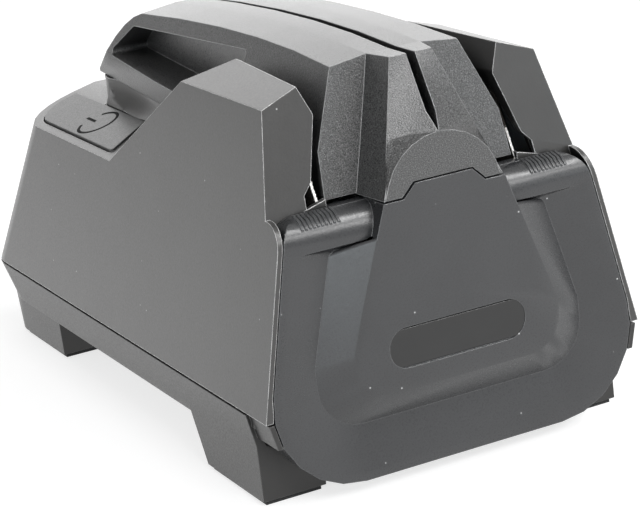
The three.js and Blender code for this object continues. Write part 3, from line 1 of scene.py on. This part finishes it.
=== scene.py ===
import json
import math
import random

import bpy
from mathutils import Matrix, Vector
from mathutils.bvhtree import BVHTree


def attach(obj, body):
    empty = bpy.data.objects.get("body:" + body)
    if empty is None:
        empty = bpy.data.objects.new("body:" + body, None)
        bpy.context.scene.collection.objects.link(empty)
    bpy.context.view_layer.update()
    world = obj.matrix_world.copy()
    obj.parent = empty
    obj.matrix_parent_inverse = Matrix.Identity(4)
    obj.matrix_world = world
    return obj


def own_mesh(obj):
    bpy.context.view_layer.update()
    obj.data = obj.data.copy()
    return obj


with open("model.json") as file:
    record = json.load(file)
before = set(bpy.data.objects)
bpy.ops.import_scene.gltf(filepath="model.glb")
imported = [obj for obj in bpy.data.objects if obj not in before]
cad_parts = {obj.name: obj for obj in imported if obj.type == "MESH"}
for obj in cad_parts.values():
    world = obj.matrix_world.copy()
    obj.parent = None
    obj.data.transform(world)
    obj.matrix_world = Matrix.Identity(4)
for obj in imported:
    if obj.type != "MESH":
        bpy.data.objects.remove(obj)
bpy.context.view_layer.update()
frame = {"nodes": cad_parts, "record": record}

MM = 0.001

# Photograph: azimuth, elevation and roll in degrees, place in millimetres, focal length in pixels
CAMERA_AZIMUTH = -24.733
CAMERA_ELEVATION = 16.693
CAMERA_ROLL = -6.957
CAMERA_PLACE = (-317.8, -722.9, 274.8)
FOCAL_PIXELS = 2427.95
IMAGE_WIDTH = 640
SENSOR_WIDTH = 36.0

# Belt drive, in the leaning frame of the mechanism, millimetres; the lean is a slope
BELT_LEAN = 0.48
DRIVE_ORIGIN = (0.0, -107.9, 87.2)
IDLER_HALF = 38.7
IDLER_RISE = 25.0
IDLER_RADIUS = 4.6
ROLLER_HALF = 40.6
ROLLER_DROP = -10.0
ROLLER_RADIUS = 6.5
BELT_SEAT = 0.3
BELT_THICKNESS = 0.8
LOOP_STEPS = 18

# The belt's edge is frayed and torn below this height of the leaning frame, millimetres
WORN_HEIGHT = 9.5

# Loose threads on the belt's front edge, millimetres; lean and bow are shares of a thread's reach
FRAY_PITCH = 0.3
FRAY_REACH = (0.25, 0.7)
FRAY_LEAN = 0.5
FRAY_BOW = 0.3
FRAY_ROOT = 0.2
FRAY_ROOT_SPREAD = (0.6, 1.2)
FRAY_ROOT_DEPTH = 0.5
FRAY_ROOT_RISE = 1.6
FRAY_SEED = 7

# Torn white edge of the belt, millimetres; the two half-widths are shares of the belt's thickness
EDGE_PROUD = 0.22
EDGE_RAGGED = 0.16
EDGE_PITCH = 0.5
EDGE_FRONT_HALF = 0.42
EDGE_BACK_HALF = 0.5
EDGE_BACK_DEPTH = 0.1

# Power symbol on the button, millimetres
SYMBOL_CENTRE = (-40.5, 46.8)
SYMBOL_RADIUS = 7.0
SYMBOL_STROKE = 1.1
SYMBOL_GAP = 34.0
SYMBOL_BAR = (2.4, 9.8)
SYMBOL_PROUD = 0.05
SYMBOL_DEPTH = 0.4
SYMBOL_STEPS = 56

# Blank plate in the recess of the front cover, millimetres
PLATE_HALF = 28.6
PLATE_HEIGHT = 11.8
PLATE_Z = 43.0
PLATE_THICKNESS = 0.42
PLATE_CHAMFER = 0.16
PLATE_STEPS = 24
PLATE_PROBE = 3.0

# Rays that find a carried-over surface start here, metres
PROBE_TOP = 0.2
PROBE_FRONT = -0.3

# Shading of a mesh: edges sharper than the angle stay hard, corners closer than the gap are one
SMOOTH_ANGLE = math.radians(32)
WELD_GAP = 0.002
EVEN_WEIGHT = 80

# Rubbed edges lightened partly with painted highlight, and painted shade deep in gaps, both found by nodes
# that look at the surface around a point
NODE_SAMPLES = 6
EDGE_TURN = 0.14
HOLLOW_SHADE_OPEN = (0.12, 0.5)
HOLLOW_SHADE_LEVEL = 14

# Dust: one cell in about fifteen holds a speck
DUST_SPACING = 3.4
DUST_EDGE = (0.10, 0.04)
DUST_CHOSEN = (0.93, 0.94)
DUST_LEVEL = 205

WHITE = (1, 1, 1, 1)
BLACK = (0, 0, 0, 1)


# Node materials
class Nodes:
    """The nodes of a material or of the world, each made by a short call."""

    def __init__(self, tree):
        self.tree = tree

    def node(self, kind, inputs=None, **settings):
        made = self.tree.nodes.new(kind)
        for key, value in settings.items():
            setattr(made, key, value)
        for key, value in (inputs or {}).items():
            self.feed(made.inputs[key], value)
        return made

    def feed(self, socket, value):
        if isinstance(value, bpy.types.NodeSocket):
            self.tree.links.new(value, socket)
        else:
            socket.default_value = value

    def ranged(self, value, low, high, to_low=0.0, to_high=1.0):
        made = self.node("ShaderNodeMapRange", {
            "Value": value, "From Min": low, "From Max": high, "To Min": to_low, "To Max": to_high})
        return made.outputs["Result"]

    def maths(self, operation, first, second, clamp=False):
        made = self.node("ShaderNodeMath", operation=operation, use_clamp=clamp)
        self.feed(made.inputs[0], first)
        self.feed(made.inputs[1], second)
        return made.outputs["Value"]

    def times(self, first, second):
        return self.maths("MULTIPLY", first, second)

    def sum(self, first, second, clamp=False):
        return self.maths("ADD", first, second, clamp)

    def rays(self):
        """1 for camera rays, and 1 for rays that were mirrored or went through glass."""
        path = self.node("ShaderNodeLightPath")
        mirrored = self.sum(path.outputs["Is Glossy Ray"], path.outputs["Is Transmission Ray"], True)
        return path.outputs["Is Camera Ray"], mirrored


class Look(Nodes):
    """A procedural material: one principled shader and the nodes that feed it."""

    def __init__(self, name, metallic=0.0, specular=0.5, coat=0.0):
        self.material = bpy.data.materials.new(name)
        self.material.use_nodes = True
        super().__init__(self.material.node_tree)
        self.shader = self.tree.nodes["Principled BSDF"]
        self.shader.inputs["Metallic"].default_value = metallic
        self.shader.inputs["Specular IOR Level"].default_value = specular
        self.shader.inputs["Coat Weight"].default_value = coat
        self.place = self.node("ShaderNodeTexCoord").outputs["Object"]

    def stretched(self, scale):
        return self.node("ShaderNodeMapping", {"Vector": self.place, "Scale": scale}).outputs["Vector"]

    def noise(self, size, detail=2.0, rough=0.5, where=None):
        """Noise whose cells are size millimetres across."""
        made = self.node("ShaderNodeTexNoise", {
            "Vector": where or self.place, "Scale": 1 / (size * MM), "Detail": detail, "Roughness": rough})
        return made.outputs["Fac"]

    def cells(self, size, output="Distance"):
        """Cells size millimetres apart: how far the nearest middle is, or the cell's own colour."""
        made = self.node("ShaderNodeTexVoronoi", {"Vector": self.place, "Scale": 1 / (size * MM)})
        return made.outputs[output]

    def spread(self, value, to_low=0.0, to_high=1.0):
        """The middle of a noise, 0.3 to 0.7, spread over another range."""
        return self.ranged(value, 0.3, 0.7, to_low, to_high)

    def mixed(self, share, low, high):
        """A mix of two colours, by the colour sockets of the node."""
        made = self.node("ShaderNodeMix", data_type="RGBA")
        self.feed(made.inputs[0], share)
        self.feed(made.inputs[6], low)
        self.feed(made.inputs[7], high)
        return made.outputs[2]

    def rounded(self, radius):
        """Normals rounded over the edges, radius in millimetres."""
        made = self.node("ShaderNodeBevel", {"Radius": radius * MM}, samples=NODE_SAMPLES)
        return made.outputs["Normal"]

    def edges(self, normal):
        """1 on the sharp edges that rounded() softens, 0 on flat faces and blunt creases."""
        dot = self.node("ShaderNodeVectorMath", operation="DOT_PRODUCT")
        self.feed(dot.inputs[0], normal)
        self.feed(dot.inputs[1], self.node("ShaderNodeNewGeometry").outputs["Normal"])
        return self.ranged(dot.outputs["Value"], 1 - EDGE_TURN / 3, 1 - EDGE_TURN)

    def painted_shade_in_hollows(self, colour, dark, reach):
        """The colour, darkened with painted shade deep inside gaps and slots that are about reach
        millimetres wide.
        """
        made = self.node("ShaderNodeAmbientOcclusion", {"Distance": reach * MM}, samples=NODE_SAMPLES)
        return self.mixed(self.ranged(made.outputs["AO"], *HOLLOW_SHADE_OPEN), dark, colour)

    def bumped(self, height, depth, strength, normal=None):
        """Bumps depth millimetres high, on top of a normal."""
        inputs = {"Height": height, "Distance": depth * MM, "Strength": strength}
        if normal is not None:
            inputs["Normal"] = normal
        return self.node("ShaderNodeBump", inputs).outputs["Normal"]

    def finish(self, colour, roughness, normal=None):
        self.feed(self.shader.inputs["Base Color"], colour)
        self.feed(self.shader.inputs["Roughness"], roughness)
        if normal is not None:
            self.feed(self.shader.inputs["Normal"], normal)
        return self.material


def grey(value, tint=(0.0, 0.0, 0.0)):
    """A linear colour from a grey level of 0 to 255 and a tint in the same units."""
    levels = [(value + shift) / 255 for shift in tint]
    return tuple(((v + 0.055) / 1.055) ** 2.4 for v in levels) + (1.0,)


def dusted(look, colour, share):
    """Specks of dust: a small dot in a few of the cells."""
    near = look.ranged(look.cells(DUST_SPACING), *DUST_EDGE)
    drawn = look.node("ShaderNodeSeparateColor", {"Color": look.cells(DUST_SPACING, "Color")})
    chosen = look.ranged(drawn.outputs["Red"], *DUST_CHOSEN)
    return look.mixed(look.times(look.times(near, chosen), share), colour, grey(DUST_LEVEL))


def moulded(name, level, tint=(0, 0, 0), grain=0.55, depth=0.05, strength=0.25, rough=(0.34, 0.5),
            edge=0.45, edge_wear_and_highlight=60, dust=0.0, painted_glint=0.0, specular=0.5, hollow_shade=0):
    """Moulded plastic: spark-eroded grain with painted glints, faint clouding, rubbed edges lightened
    partly as painted highlight, a little dust, and painted shade in hollows.
    """
    look = Look(name, specular=specular)
    clouds = look.ranged(look.noise(size=38, detail=3), 0.35, 0.65)
    flow = look.spread(look.noise(size=6, detail=3, where=look.stretched((1, 0.35, 1))))
    grit = look.noise(grain, detail=2.0, rough=0.6)
    pits = look.cells(grain * 1.5)
    normal = look.rounded(edge)
    colour = look.mixed(clouds, grey(level - 3, tint), grey(level + 3, tint))
    colour = look.mixed(look.times(flow, 0.35), colour, grey(level + 5, tint))
    # Rubbed edges made lighter: partly wear, partly painted highlight
    wear_and_highlight = look.times(look.edges(normal), look.spread(look.noise(size=2.2, detail=3), 0.45, 1.0))
    colour = look.mixed(wear_and_highlight, colour, grey(level + edge_wear_and_highlight, tint))
    roughness = look.spread(grit, *rough)
    # Painted glints: small specks of the grain made lighter
    if painted_glint:
        specks = look.ranged(look.noise(grain, detail=1.0), 0.46, 0.72)
        colour = look.mixed(look.times(specks, painted_glint), colour, grey(level + 70, tint))
    if dust:
        colour = dusted(look, colour, dust)
    # Painted shade: the colour goes dark deep in gaps and slots
    if hollow_shade:
        colour = look.painted_shade_in_hollows(colour, grey(HOLLOW_SHADE_LEVEL), hollow_shade)
    bump = look.bumped(grit, depth, strength, normal)
    return look.finish(colour, roughness, look.bumped(pits, depth, strength * 0.6, bump))


def smooth_plastic(name, colour, dark, rough=(0.25, 0.38), specular=0.5):
    """Polished plastic or ceramic with a faint clouding."""
    look = Look(name, specular=specular)
    clouds = look.spread(look.noise(size=9, detail=3))
    bump = look.bumped(look.noise(size=0.7), 0.02, 0.2, look.rounded(0.25))
    return look.finish(look.mixed(clouds, dark, colour), look.spread(look.noise(size=3), *rough), bump)


def worked_metal(name, colour, dark, rough=(0.22, 0.42), stretch=(1, 12, 1), grain=0.6):
    """Turned or drawn metal: tool lines along the stretch, and stains."""
    look = Look(name, metallic=1.0)
    lines = look.noise(grain, detail=3, rough=0.6, where=look.stretched(stretch))
    stain = look.ranged(look.noise(size=7, detail=3), 0.35, 0.7)
    normal = look.bumped(lines, 0.02, 0.25, look.rounded(0.2))
    return look.finish(look.mixed(stain, colour, dark), look.spread(lines, *rough), normal)


def rubbery(name, level):
    """Dull, slightly rough rubber."""
    look = Look(name, specular=0.35)
    specks = look.noise(size=0.5, detail=3)
    colour = look.mixed(look.spread(look.noise(size=7, detail=3)), grey(level), grey(level + 9))
    bump = look.bumped(specks, 0.08, 0.5, look.rounded(0.4))
    return look.finish(colour, look.spread(specks, 0.7, 0.92), bump)


def insulated(name, colour, dark):
    """The coloured sleeve of a lead."""
    look = Look(name, specular=0.4)
    bands = look.noise(size=1.6, detail=2)
    colour = look.mixed(look.spread(bands), dark, colour)
    return look.finish(colour, look.spread(bands, 0.4, 0.55), look.bumped(bands, 0.05, 0.3))


def board_look(name):
    """Green solder mask with paler tracks under it."""
    look = Look(name, coat=0.3)
    spacing = 11
    tracks = look.node("ShaderNodeTexBrick", {
        "Vector": look.place, "Scale": 1 / (spacing * MM), "Mortar Size": 0.04,
        "Color1": WHITE, "Color2": WHITE, "Mortar": BLACK}, offset=0.3)
    green = look.mixed(look.spread(look.noise(size=5)), (0.015, 0.075, 0.03, 1), (0.03, 0.12, 0.05, 1))
    colour = look.mixed(tracks.outputs["Color"], (0.06, 0.2, 0.08, 1), green)
    return look.finish(colour, look.spread(look.noise(size=2), 0.25, 0.4), look.rounded(0.15))


def abrasive(name):
    """Dark brown grit, worn a little paler in patches."""
    look = Look(name, specular=0.3)
    grains = look.cells(0.45)
    colour = look.mixed(look.ranged(grains, 0.1, 0.6), (0.008, 0.007, 0.006, 1), (0.03, 0.025, 0.021, 1))
    worn = look.ranged(look.noise(size=4, detail=3), 0.4, 0.8)
    colour = look.mixed(worn, colour, (0.045, 0.038, 0.033, 1))
    bump = look.bumped(grains, 0.25, 0.8)
    return look.finish(colour, look.spread(look.noise(size=0.6), 0.75, 0.95), bump)


def thread(name):
    """White cotton of the belt's backing."""
    look = Look(name, specular=0.3)
    strands = look.noise(size=0.3, detail=2)
    colour = look.mixed(look.spread(strands), (0.74, 0.72, 0.68, 1), (0.95, 0.94, 0.92, 1))
    return look.finish(colour, look.spread(strands, 0.8, 1.0), look.bumped(strands, 0.1, 0.6))


# Looks for the solids: rubbed edges lightened partly as painted highlight, painted glints on the guide's
# grain, painted shade in the hollows of shell and guide
LOOKS = {
    "shell_plastic": moulded("shell_plastic", 41, (0.8, 0, -0.8), rough=(0.28, 0.4), edge_wear_and_highlight=200,
                             dust=0.5, hollow_shade=12),
    "tray_plastic": moulded("tray_plastic", 33, (0.8, 0, -0.8), rough=(0.36, 0.5), specular=0.36),
    "cover_plastic": moulded("cover_plastic", 35, (-0.6, 0, 1.4), rough=(0.24, 0.36), edge_wear_and_highlight=75,
                             dust=0.8),
    "guide_plastic": moulded("guide_plastic", 34, rough=(0.25, 0.4), edge_wear_and_highlight=150, dust=0.4, hollow_shade=10,
                             grain=0.34, depth=0.09, strength=0.8, painted_glint=0.7, specular=0.62),
    "button_plastic": moulded("button_plastic", 44, edge_wear_and_highlight=40),
    "rubber": rubbery("rubber", 34),
    "ceramic": smooth_plastic("ceramic", (0.86, 0.84, 0.78, 1), (0.78, 0.75, 0.68, 1), (0.3, 0.5)),
    "white_plastic": smooth_plastic("white_plastic", (0.78, 0.76, 0.7, 1), (0.7, 0.68, 0.61, 1)),
    "black_plastic": smooth_plastic("black_plastic", grey(44), grey(33), (0.35, 0.5)),
    "frame_plastic": moulded("frame_plastic", 108, (-3, 0, 2), grain=0.7, edge_wear_and_highlight=20),
    "circuit_board": board_look("circuit_board"),
    "red_lead": insulated("red_lead", (0.24, 0.018, 0.014, 1), (0.18, 0.012, 0.01, 1)),
    "blue_lead": insulated("blue_lead", (0.018, 0.03, 0.22, 1), (0.012, 0.022, 0.16, 1)),
    "steel": worked_metal("steel", (0.4, 0.41, 0.42, 1), (0.27, 0.27, 0.28, 1)),
    "motor_steel": worked_metal("motor_steel", (0.34, 0.35, 0.36, 1), (0.24, 0.25, 0.26, 1),
                                (0.3, 0.5), (1, 1, 9)),
    "brass": worked_metal("brass", (0.58, 0.42, 0.17, 1), (0.4, 0.28, 0.11, 1)),
    "abrasive_cloth": abrasive("abrasive_cloth"),
}


# Carried-over solids: one look each, with the mesh shaded smooth between its sharp edges
def shade(obj):
    mesh = obj.data
    mesh.polygons.foreach_set("use_smooth", [True] * len(mesh.polygons))
    if "custom_normal" in mesh.attributes:
        mesh.attributes.remove(mesh.attributes["custom_normal"])
    weld = obj.modifiers.new("weld", "WELD")
    weld.merge_threshold = WELD_GAP * MM
    split = obj.modifiers.new("split", "EDGE_SPLIT")
    split.split_angle = SMOOTH_ANGLE
    split.use_edge_sharp = False
    even = obj.modifiers.new("even", "WEIGHTED_NORMAL")
    even.mode = "FACE_AREA"
    even.weight = EVEN_WEIGHT


for subpart in frame["record"]["subparts"]:
    solid = frame["nodes"][subpart["node"]]
    solid.data.materials.clear()
    solid.data.materials.append(LOOKS[subpart["material_slot"]])
    shade(solid)


# Springs, each with its joint, the way of its slide and its travel in millimetres; each gets a mesh of its
# own
BELT_WAY = (0, 0.432731, 0.901523)
SPRINGS = (
    ("button_spring", "power_press", (0, 0, 1), 1.8),
    ("left_tension_spring", "left_tension", BELT_WAY, 3.0),
    ("right_tension_spring", "right_tension", BELT_WAY, 3.0),
)

for name, joint, way, travel in SPRINGS:
    spring = frame["nodes"][name]
    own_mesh(spring)


# New pieces
def piece(name, points, faces, look, body, slot):
    """A new mesh piece in millimetres, riding on a body."""
    mesh = bpy.data.meshes.new(name)
    mesh.from_pydata([[c * MM for c in p] for p in points], [], faces)
    mesh.validate()
    mesh.materials.append(look)
    made = bpy.data.objects.new(name, mesh)
    bpy.context.scene.collection.objects.link(made)
    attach(made, body)


def tree_of(node):
    """A carried-over solid as a tree that rays can be cast at."""
    return BVHTree.FromObject(frame["nodes"][node], bpy.context.evaluated_depsgraph_get())


# Power symbol: an inlaid near-black stroke, painted shade for the engraved grooves of the symbol, that
# follows the sloping top of the button
button_top = tree_of("power_button")


def on_button(x, y, lift):
    """A point lift millimetres above the button's top."""
    hit = button_top.ray_cast(Vector((x * MM, y * MM, PROBE_TOP)), Vector((0, 0, -1)))[0]
    return (x, y, hit.z / MM + lift)


def stroke(rails):
    """Points and faces of a closed strip whose left and right edges are rails."""
    points, faces = [], []
    for left, right in rails:
        points += [on_button(*left, SYMBOL_PROUD), on_button(*right, SYMBOL_PROUD)]
        points += [on_button(*left, -SYMBOL_DEPTH), on_button(*right, -SYMBOL_DEPTH)]
    for k in range(len(rails) - 1):
        a, b = 4 * k, 4 * k + 4
        faces += [(a, b, b + 1, a + 1), (a + 2, a + 3, b + 3, b + 2),
                  (a, a + 2, b + 2, b), (a + 1, b + 1, b + 3, a + 3)]
    end = 4 * (len(rails) - 1)
    faces += [(0, 1, 3, 2), (end, end + 2, end + 3, end + 1)]
    return points, faces


def symbol():
    """An open ring with a bar in its gap."""
    cx, cy = SYMBOL_CENTRE
    half = SYMBOL_STROKE / 2
    ring = []
    for k in range(SYMBOL_STEPS + 1):
        turn = math.radians(SYMBOL_GAP + (360 - 2 * SYMBOL_GAP) * k / SYMBOL_STEPS)
        c, s = math.cos(turn), math.sin(turn)
        ring.append([(cx - s * r, cy + c * r) for r in (SYMBOL_RADIUS - half, SYMBOL_RADIUS + half)])
    bar = [[(cx + half, cy + t), (cx - half, cy + t)] for t in SYMBOL_BAR]
    points, faces = stroke(ring)
    more, joined = stroke(bar)
    return points + more, faces + [tuple(i + len(points) for i in f) for f in joined]


# Near-black matte: painted shade of the symbol's grooves
groove_shade = smooth_plastic("symbol_painted_groove_shade", grey(14), grey(9), (0.75, 0.9), specular=0.12)
piece("power_symbol", *symbol(), groove_shade, "power_button", "button_plastic")


# Blank plate in the cover's long recess
def plate_outline(inset):
    """A bar with round ends, smaller by inset all round."""
    half, radius = PLATE_HALF - PLATE_HEIGHT / 2, PLATE_HEIGHT / 2 - inset
    points = []
    for k in range(2 * PLATE_STEPS):
        side, step = divmod(k, PLATE_STEPS)
        turn = math.radians(-90 + 180 * step / (PLATE_STEPS - 1)) + side * math.pi
        centre = half if side == 0 else -half
        points.append((centre + radius * math.cos(turn), PLATE_Z + radius * math.sin(turn)))
    return points


def plate():
    """A thin chamfered plate that leans as the floor of its recess does."""
    front = tree_of("front_cover")

    def face_at(z):
        hit = front.ray_cast(Vector((0, PROBE_FRONT, z * MM)), Vector((0, 1, 0)))[0]
        return hit.y / MM

    low, high = face_at(PLATE_Z - PLATE_PROBE), face_at(PLATE_Z + PLATE_PROBE)
    rows = [(0.0, 0.0), (0.0, PLATE_THICKNESS - PLATE_CHAMFER), (PLATE_CHAMFER, PLATE_THICKNESS)]
    points, faces = [], []
    for inset, rise in rows:
        for x, z in plate_outline(inset):
            floor = low + (high - low) * (z - (PLATE_Z - PLATE_PROBE)) / (2 * PLATE_PROBE)
            points.append((x, floor - rise, z))
    count = 2 * PLATE_STEPS
    for row in range(len(rows) - 1):
        for k in range(count):
            a, b = row * count + k, row * count + (k + 1) % count
            faces.append((a, b, b + count, a + count))
    faces.append(tuple(range(count))[::-1])
    faces.append(tuple(range((len(rows) - 1) * count, len(rows) * count)))
    return points, faces


label = smooth_plastic("label_gloss", grey(20), grey(15), (0.16, 0.24), specular=0.4)
piece("badge_plate", *plate(), label, "front_cover", "cover_plastic")


# Belts: loose threads and a torn white edge along the front of each abrasive loop
def belt_line(offset):
    """The belt's loop as (across, up) points, offset outwards from its inner face."""
    top, low = IDLER_RADIUS + BELT_SEAT + offset, ROLLER_RADIUS + BELT_SEAT + offset
    across, up = IDLER_HALF - ROLLER_HALF, IDLER_RISE - ROLLER_DROP
    axis = math.atan2(up, across)
    swing = math.acos((low - top) / math.hypot(across, up))
    points = []
    for k in range(LOOP_STEPS + 1):
        turn = axis - swing + 2 * swing * k / LOOP_STEPS
        points.append((IDLER_HALF + top * math.cos(turn), IDLER_RISE + top * math.sin(turn)))
    for k in range(LOOP_STEPS + 1):
        turn = axis + swing + (2 * math.pi - 2 * swing) * k / LOOP_STEPS
        points.append((ROLLER_HALF + low * math.cos(turn), ROLLER_DROP + low * math.sin(turn)))
    return points


def leaning(x, y, z):
    """A point of the leaning frame in the frame of the part."""
    turn = math.atan(BELT_LEAN)
    c, s = math.cos(turn), math.sin(turn)
    ox, oy, oz = DRIVE_ORIGIN
    return (ox + x, oy + c * y + s * z, oz - s * y + c * z)


def torn_edge(side, draw, points, faces):
    """A ragged white ribbon along the belt's front edge, where the cloth backing shows."""
    line = belt_line(BELT_THICKNESS / 2)
    path = []
    for (x0, z0), (x1, z1) in zip(line, line[1:] + line[:1]):
        run = math.hypot(x1 - x0, z1 - z0)
        out = ((z1 - z0) / run, (x0 - x1) / run)
        steps = max(1, round(run / EDGE_PITCH))
        path += [(x0 + (x1 - x0) * k / steps, z0 + (z1 - z0) * k / steps, out) for k in range(steps)]
    while path[0][1] < WORN_HEIGHT or path[-1][1] >= WORN_HEIGHT:
        path.append(path.pop(0))
    path = [spot for spot in path if spot[1] < WORN_HEIGHT]
    start, count = len(points), len(path)
    section = ((-EDGE_BACK_HALF, EDGE_BACK_DEPTH), (-EDGE_FRONT_HALF, -EDGE_PROUD),
               (EDGE_FRONT_HALF, -EDGE_PROUD), (EDGE_BACK_HALF, EDGE_BACK_DEPTH))
    for x, z, out in path:
        for u, depth in section:
            ragged = draw.uniform(-EDGE_RAGGED, EDGE_RAGGED)
            rise = u * BELT_THICKNESS + (ragged if depth < 0 else 0)
            reach = depth - (abs(ragged) if depth < 0 else 0)
            points.append(leaning(side * (x + out[0] * rise), reach, z + out[1] * rise))
    new = []
    for k in range(count - 1):
        a, b = start + 4 * k, start + 4 * (k + 1)
        for j in range(4):
            i = (j + 1) % 4
            new.append((a + j, a + i, b + i, b + j))
    new.append((start + 3, start + 2, start + 1, start))
    new.append(tuple(start + 4 * (count - 1) + j for j in range(4)))
    faces += new if side > 0 else [face[::-1] for face in new]


def fray(side, draw):
    """The torn edge, and a thin three-sided spike for each loose thread."""
    line = belt_line(BELT_THICKNESS / 2)
    points, faces = [], []
    torn_edge(side, draw, points, faces)
    for k, (x0, z0) in enumerate(line):
        x1, z1 = line[(k + 1) % len(line)]
        run = math.hypot(x1 - x0, z1 - z0)
        along = ((x1 - x0) / run, (z1 - z0) / run)
        out = (along[1], -along[0])
        for step in range(int(run / FRAY_PITCH)):
            t = (step + draw.random()) * FRAY_PITCH / run
            x, z = x0 + (x1 - x0) * t, z0 + (z1 - z0) * t
            if z > WORN_HEIGHT:
                continue
            reach = draw.uniform(*FRAY_REACH)
            lean = draw.uniform(-FRAY_LEAN, FRAY_LEAN)
            bow = draw.uniform(-FRAY_BOW, FRAY_BOW)
            root = FRAY_ROOT * draw.uniform(*FRAY_ROOT_SPREAD)
            start = len(points)
            foot = ((-root, -root), (root, -root), (0, root * FRAY_ROOT_RISE))
            corners = [(w, u, FRAY_ROOT_DEPTH) for w, u in foot] + [(lean * reach, bow * reach, -reach)]
            for w, u, depth in corners:
                points.append(leaning(side * (x + along[0] * w + out[0] * u), depth,
                                      z + along[1] * w + out[1] * u))
            a, b, c, d = range(start, start + 4)
            new = [(a, b, c), (a, d, b), (b, d, c), (c, d, a)]
            faces += new if side > 0 else [f[::-1] for f in new]
    return points, faces


cotton = thread("belt_thread")
draw = random.Random(FRAY_SEED)
for name, side in (("left", -1), ("right", 1)):
    piece(f"{name}_belt_fray", *fray(side, draw), cotton, "housing", "abrasive_cloth")


# Stage: a pale floor, a white surround and six soft boxes, metres
WORLD_LEVEL = 0.5
WORLD_BACK = (0.45, 2.5)
WORLD_LEFT = 0.5

# Directions between which the cards of the world fade in, as shares of a unit vector
REAR_FADE = (0.3, 0.7)
SIDE_FADE = (-0.35, 0.15)
LEFT_FADE = (-0.6, -0.95)

# The floor glows for the camera and for gloss, so that it shows pale without more light
FLOOR_SEEN = 0.72
FLOOR_GLOSS = 1.3
FLOOR_COLOUR = (0.42, 0.42, 0.42, 1)
FLOOR_DARKER = (0.4116, 0.4116, 0.4116, 1)
FLOOR_REACH = 6.0


def studio_world():
    """White for the camera, a plain level for the light on the object, and cards for gloss.

    Gloss mirrors one strength toward the rear on the left, another toward the rear on the right,
    half more than white at the far left, and plain white everywhere else.
    """
    world = bpy.data.worlds.new("studio")
    bpy.context.scene.world = world
    world.use_nodes = True
    sky = Nodes(world.node_tree)
    seen, mirrored = sky.rays()
    ahead = sky.node("ShaderNodeTexCoord").outputs["Generated"]
    way = sky.node("ShaderNodeSeparateXYZ", {"Vector": ahead}).outputs
    behind = sky.ranged(way["Y"], *REAR_FADE)
    back = sky.ranged(way["X"], *SIDE_FADE, WORLD_BACK[0] - 1, WORLD_BACK[1] - 1)
    left = sky.ranged(way["X"], *LEFT_FADE, 1, 1 + WORLD_LEFT)
    glossy = sky.times(mirrored, sky.sum(left, sky.times(behind, back)))
    plain = sky.ranged(sky.sum(seen, mirrored, True), 0, 1, WORLD_LEVEL, 0)
    background = world.node_tree.nodes["Background"]
    background.inputs["Color"].default_value = WHITE
    sky.feed(background.inputs["Strength"], sky.sum(seen, sky.sum(plain, glossy)))


def studio_floor():
    """A square of faintly clouded paper."""
    look = Look("floor", specular=0.2)
    seen, mirrored = look.rays()
    look.shader.inputs["Emission Color"].default_value = WHITE
    shown = look.sum(look.times(seen, FLOOR_SEEN), look.times(mirrored, FLOOR_GLOSS))
    look.feed(look.shader.inputs["Emission Strength"], shown)
    look.finish(look.mixed(look.spread(look.noise(size=60)), FLOOR_COLOUR, FLOOR_DARKER), 0.9)
    mesh = bpy.data.meshes.new("floor")
    corners = [(x * FLOOR_REACH, y * FLOOR_REACH, 0) for x, y in ((-1, -1), (1, -1), (1, 1), (-1, 1))]
    mesh.from_pydata(corners, [], [(0, 1, 2, 3)])
    mesh.materials.append(look.material)
    floor = bpy.data.objects.new("floor", mesh)
    bpy.context.scene.collection.objects.link(floor)


def lamp(name, place, target, size, power, colour=(1, 1, 1)):
    """A soft box that faces its target, power in watts."""
    data = bpy.data.lights.new(name, "AREA")
    data.shape = "RECTANGLE"
    data.size, data.size_y = size
    data.energy = power
    data.color = colour
    made = bpy.data.objects.new(name, data)
    bpy.context.scene.collection.objects.link(made)
    made.location = place
    made.rotation_euler = (Vector(target) - Vector(place)).to_track_quat("-Z", "Y").to_euler()


OBJECT_MIDDLE = (0, 0, 0.07)
OBJECT_LOW = (0, 0, 0.06)
OBJECT_FOOT = (0, 0, 0.05)
COOL_WHITE = (0.86, 0.95, 1.0)

studio_world()
studio_floor()
lamp("top_box", (0.63, -0.63, 1.21), OBJECT_MIDDLE, (0.4, 0.4), 10.5)
lamp("brow_box", (0.58, -1.09, 0.84), OBJECT_MIDDLE, (0.34, 0.34), 5.0)
lamp("front_box", (-0.06, -1.23, 0.84), OBJECT_MIDDLE, (0.5, 0.36), 9.0)
lamp("right_box", (0.98, -1.12, 0.34), OBJECT_LOW, (0.3, 0.5), 2.2, COOL_WHITE)
lamp("left_front_box", (-0.8, -1.1, 0.24), OBJECT_FOOT, (0.6, 0.42), 3.8, COOL_WHITE)
lamp("left_box", (-1.25, -0.5, 0.28), OBJECT_LOW, (0.4, 0.4), 2.4)


# Camera
CLIP_NEAR = 0.05
CLIP_FAR = 30


def photo_camera():
    """The camera of the photograph."""
    a, e, r = (math.radians(v) for v in (CAMERA_AZIMUTH, CAMERA_ELEVATION, CAMERA_ROLL))
    back = Vector((math.sin(a) * math.cos(e), -math.cos(a) * math.cos(e), math.sin(e)))
    right = (-back).cross(Vector((0, 0, 1))).normalized()
    up = right.cross(-back)
    turned_right = right * math.cos(r) + up * math.sin(r)
    turned_up = up * math.cos(r) - right * math.sin(r)
    data = bpy.data.cameras.new("camera")
    data.sensor_width = SENSOR_WIDTH
    data.lens = FOCAL_PIXELS / IMAGE_WIDTH * SENSOR_WIDTH
    data.clip_start, data.clip_end = CLIP_NEAR, CLIP_FAR
    camera = bpy.data.objects.new("camera", data)
    bpy.context.scene.collection.objects.link(camera)
    turn = Matrix((turned_right, turned_up, back)).transposed().to_4x4()
    camera.matrix_world = Matrix.Translation(Vector(CAMERA_PLACE) * MM) @ turn
    bpy.context.scene.camera = camera


photo_camera()
bpy.context.scene.view_settings.view_transform = "Standard"
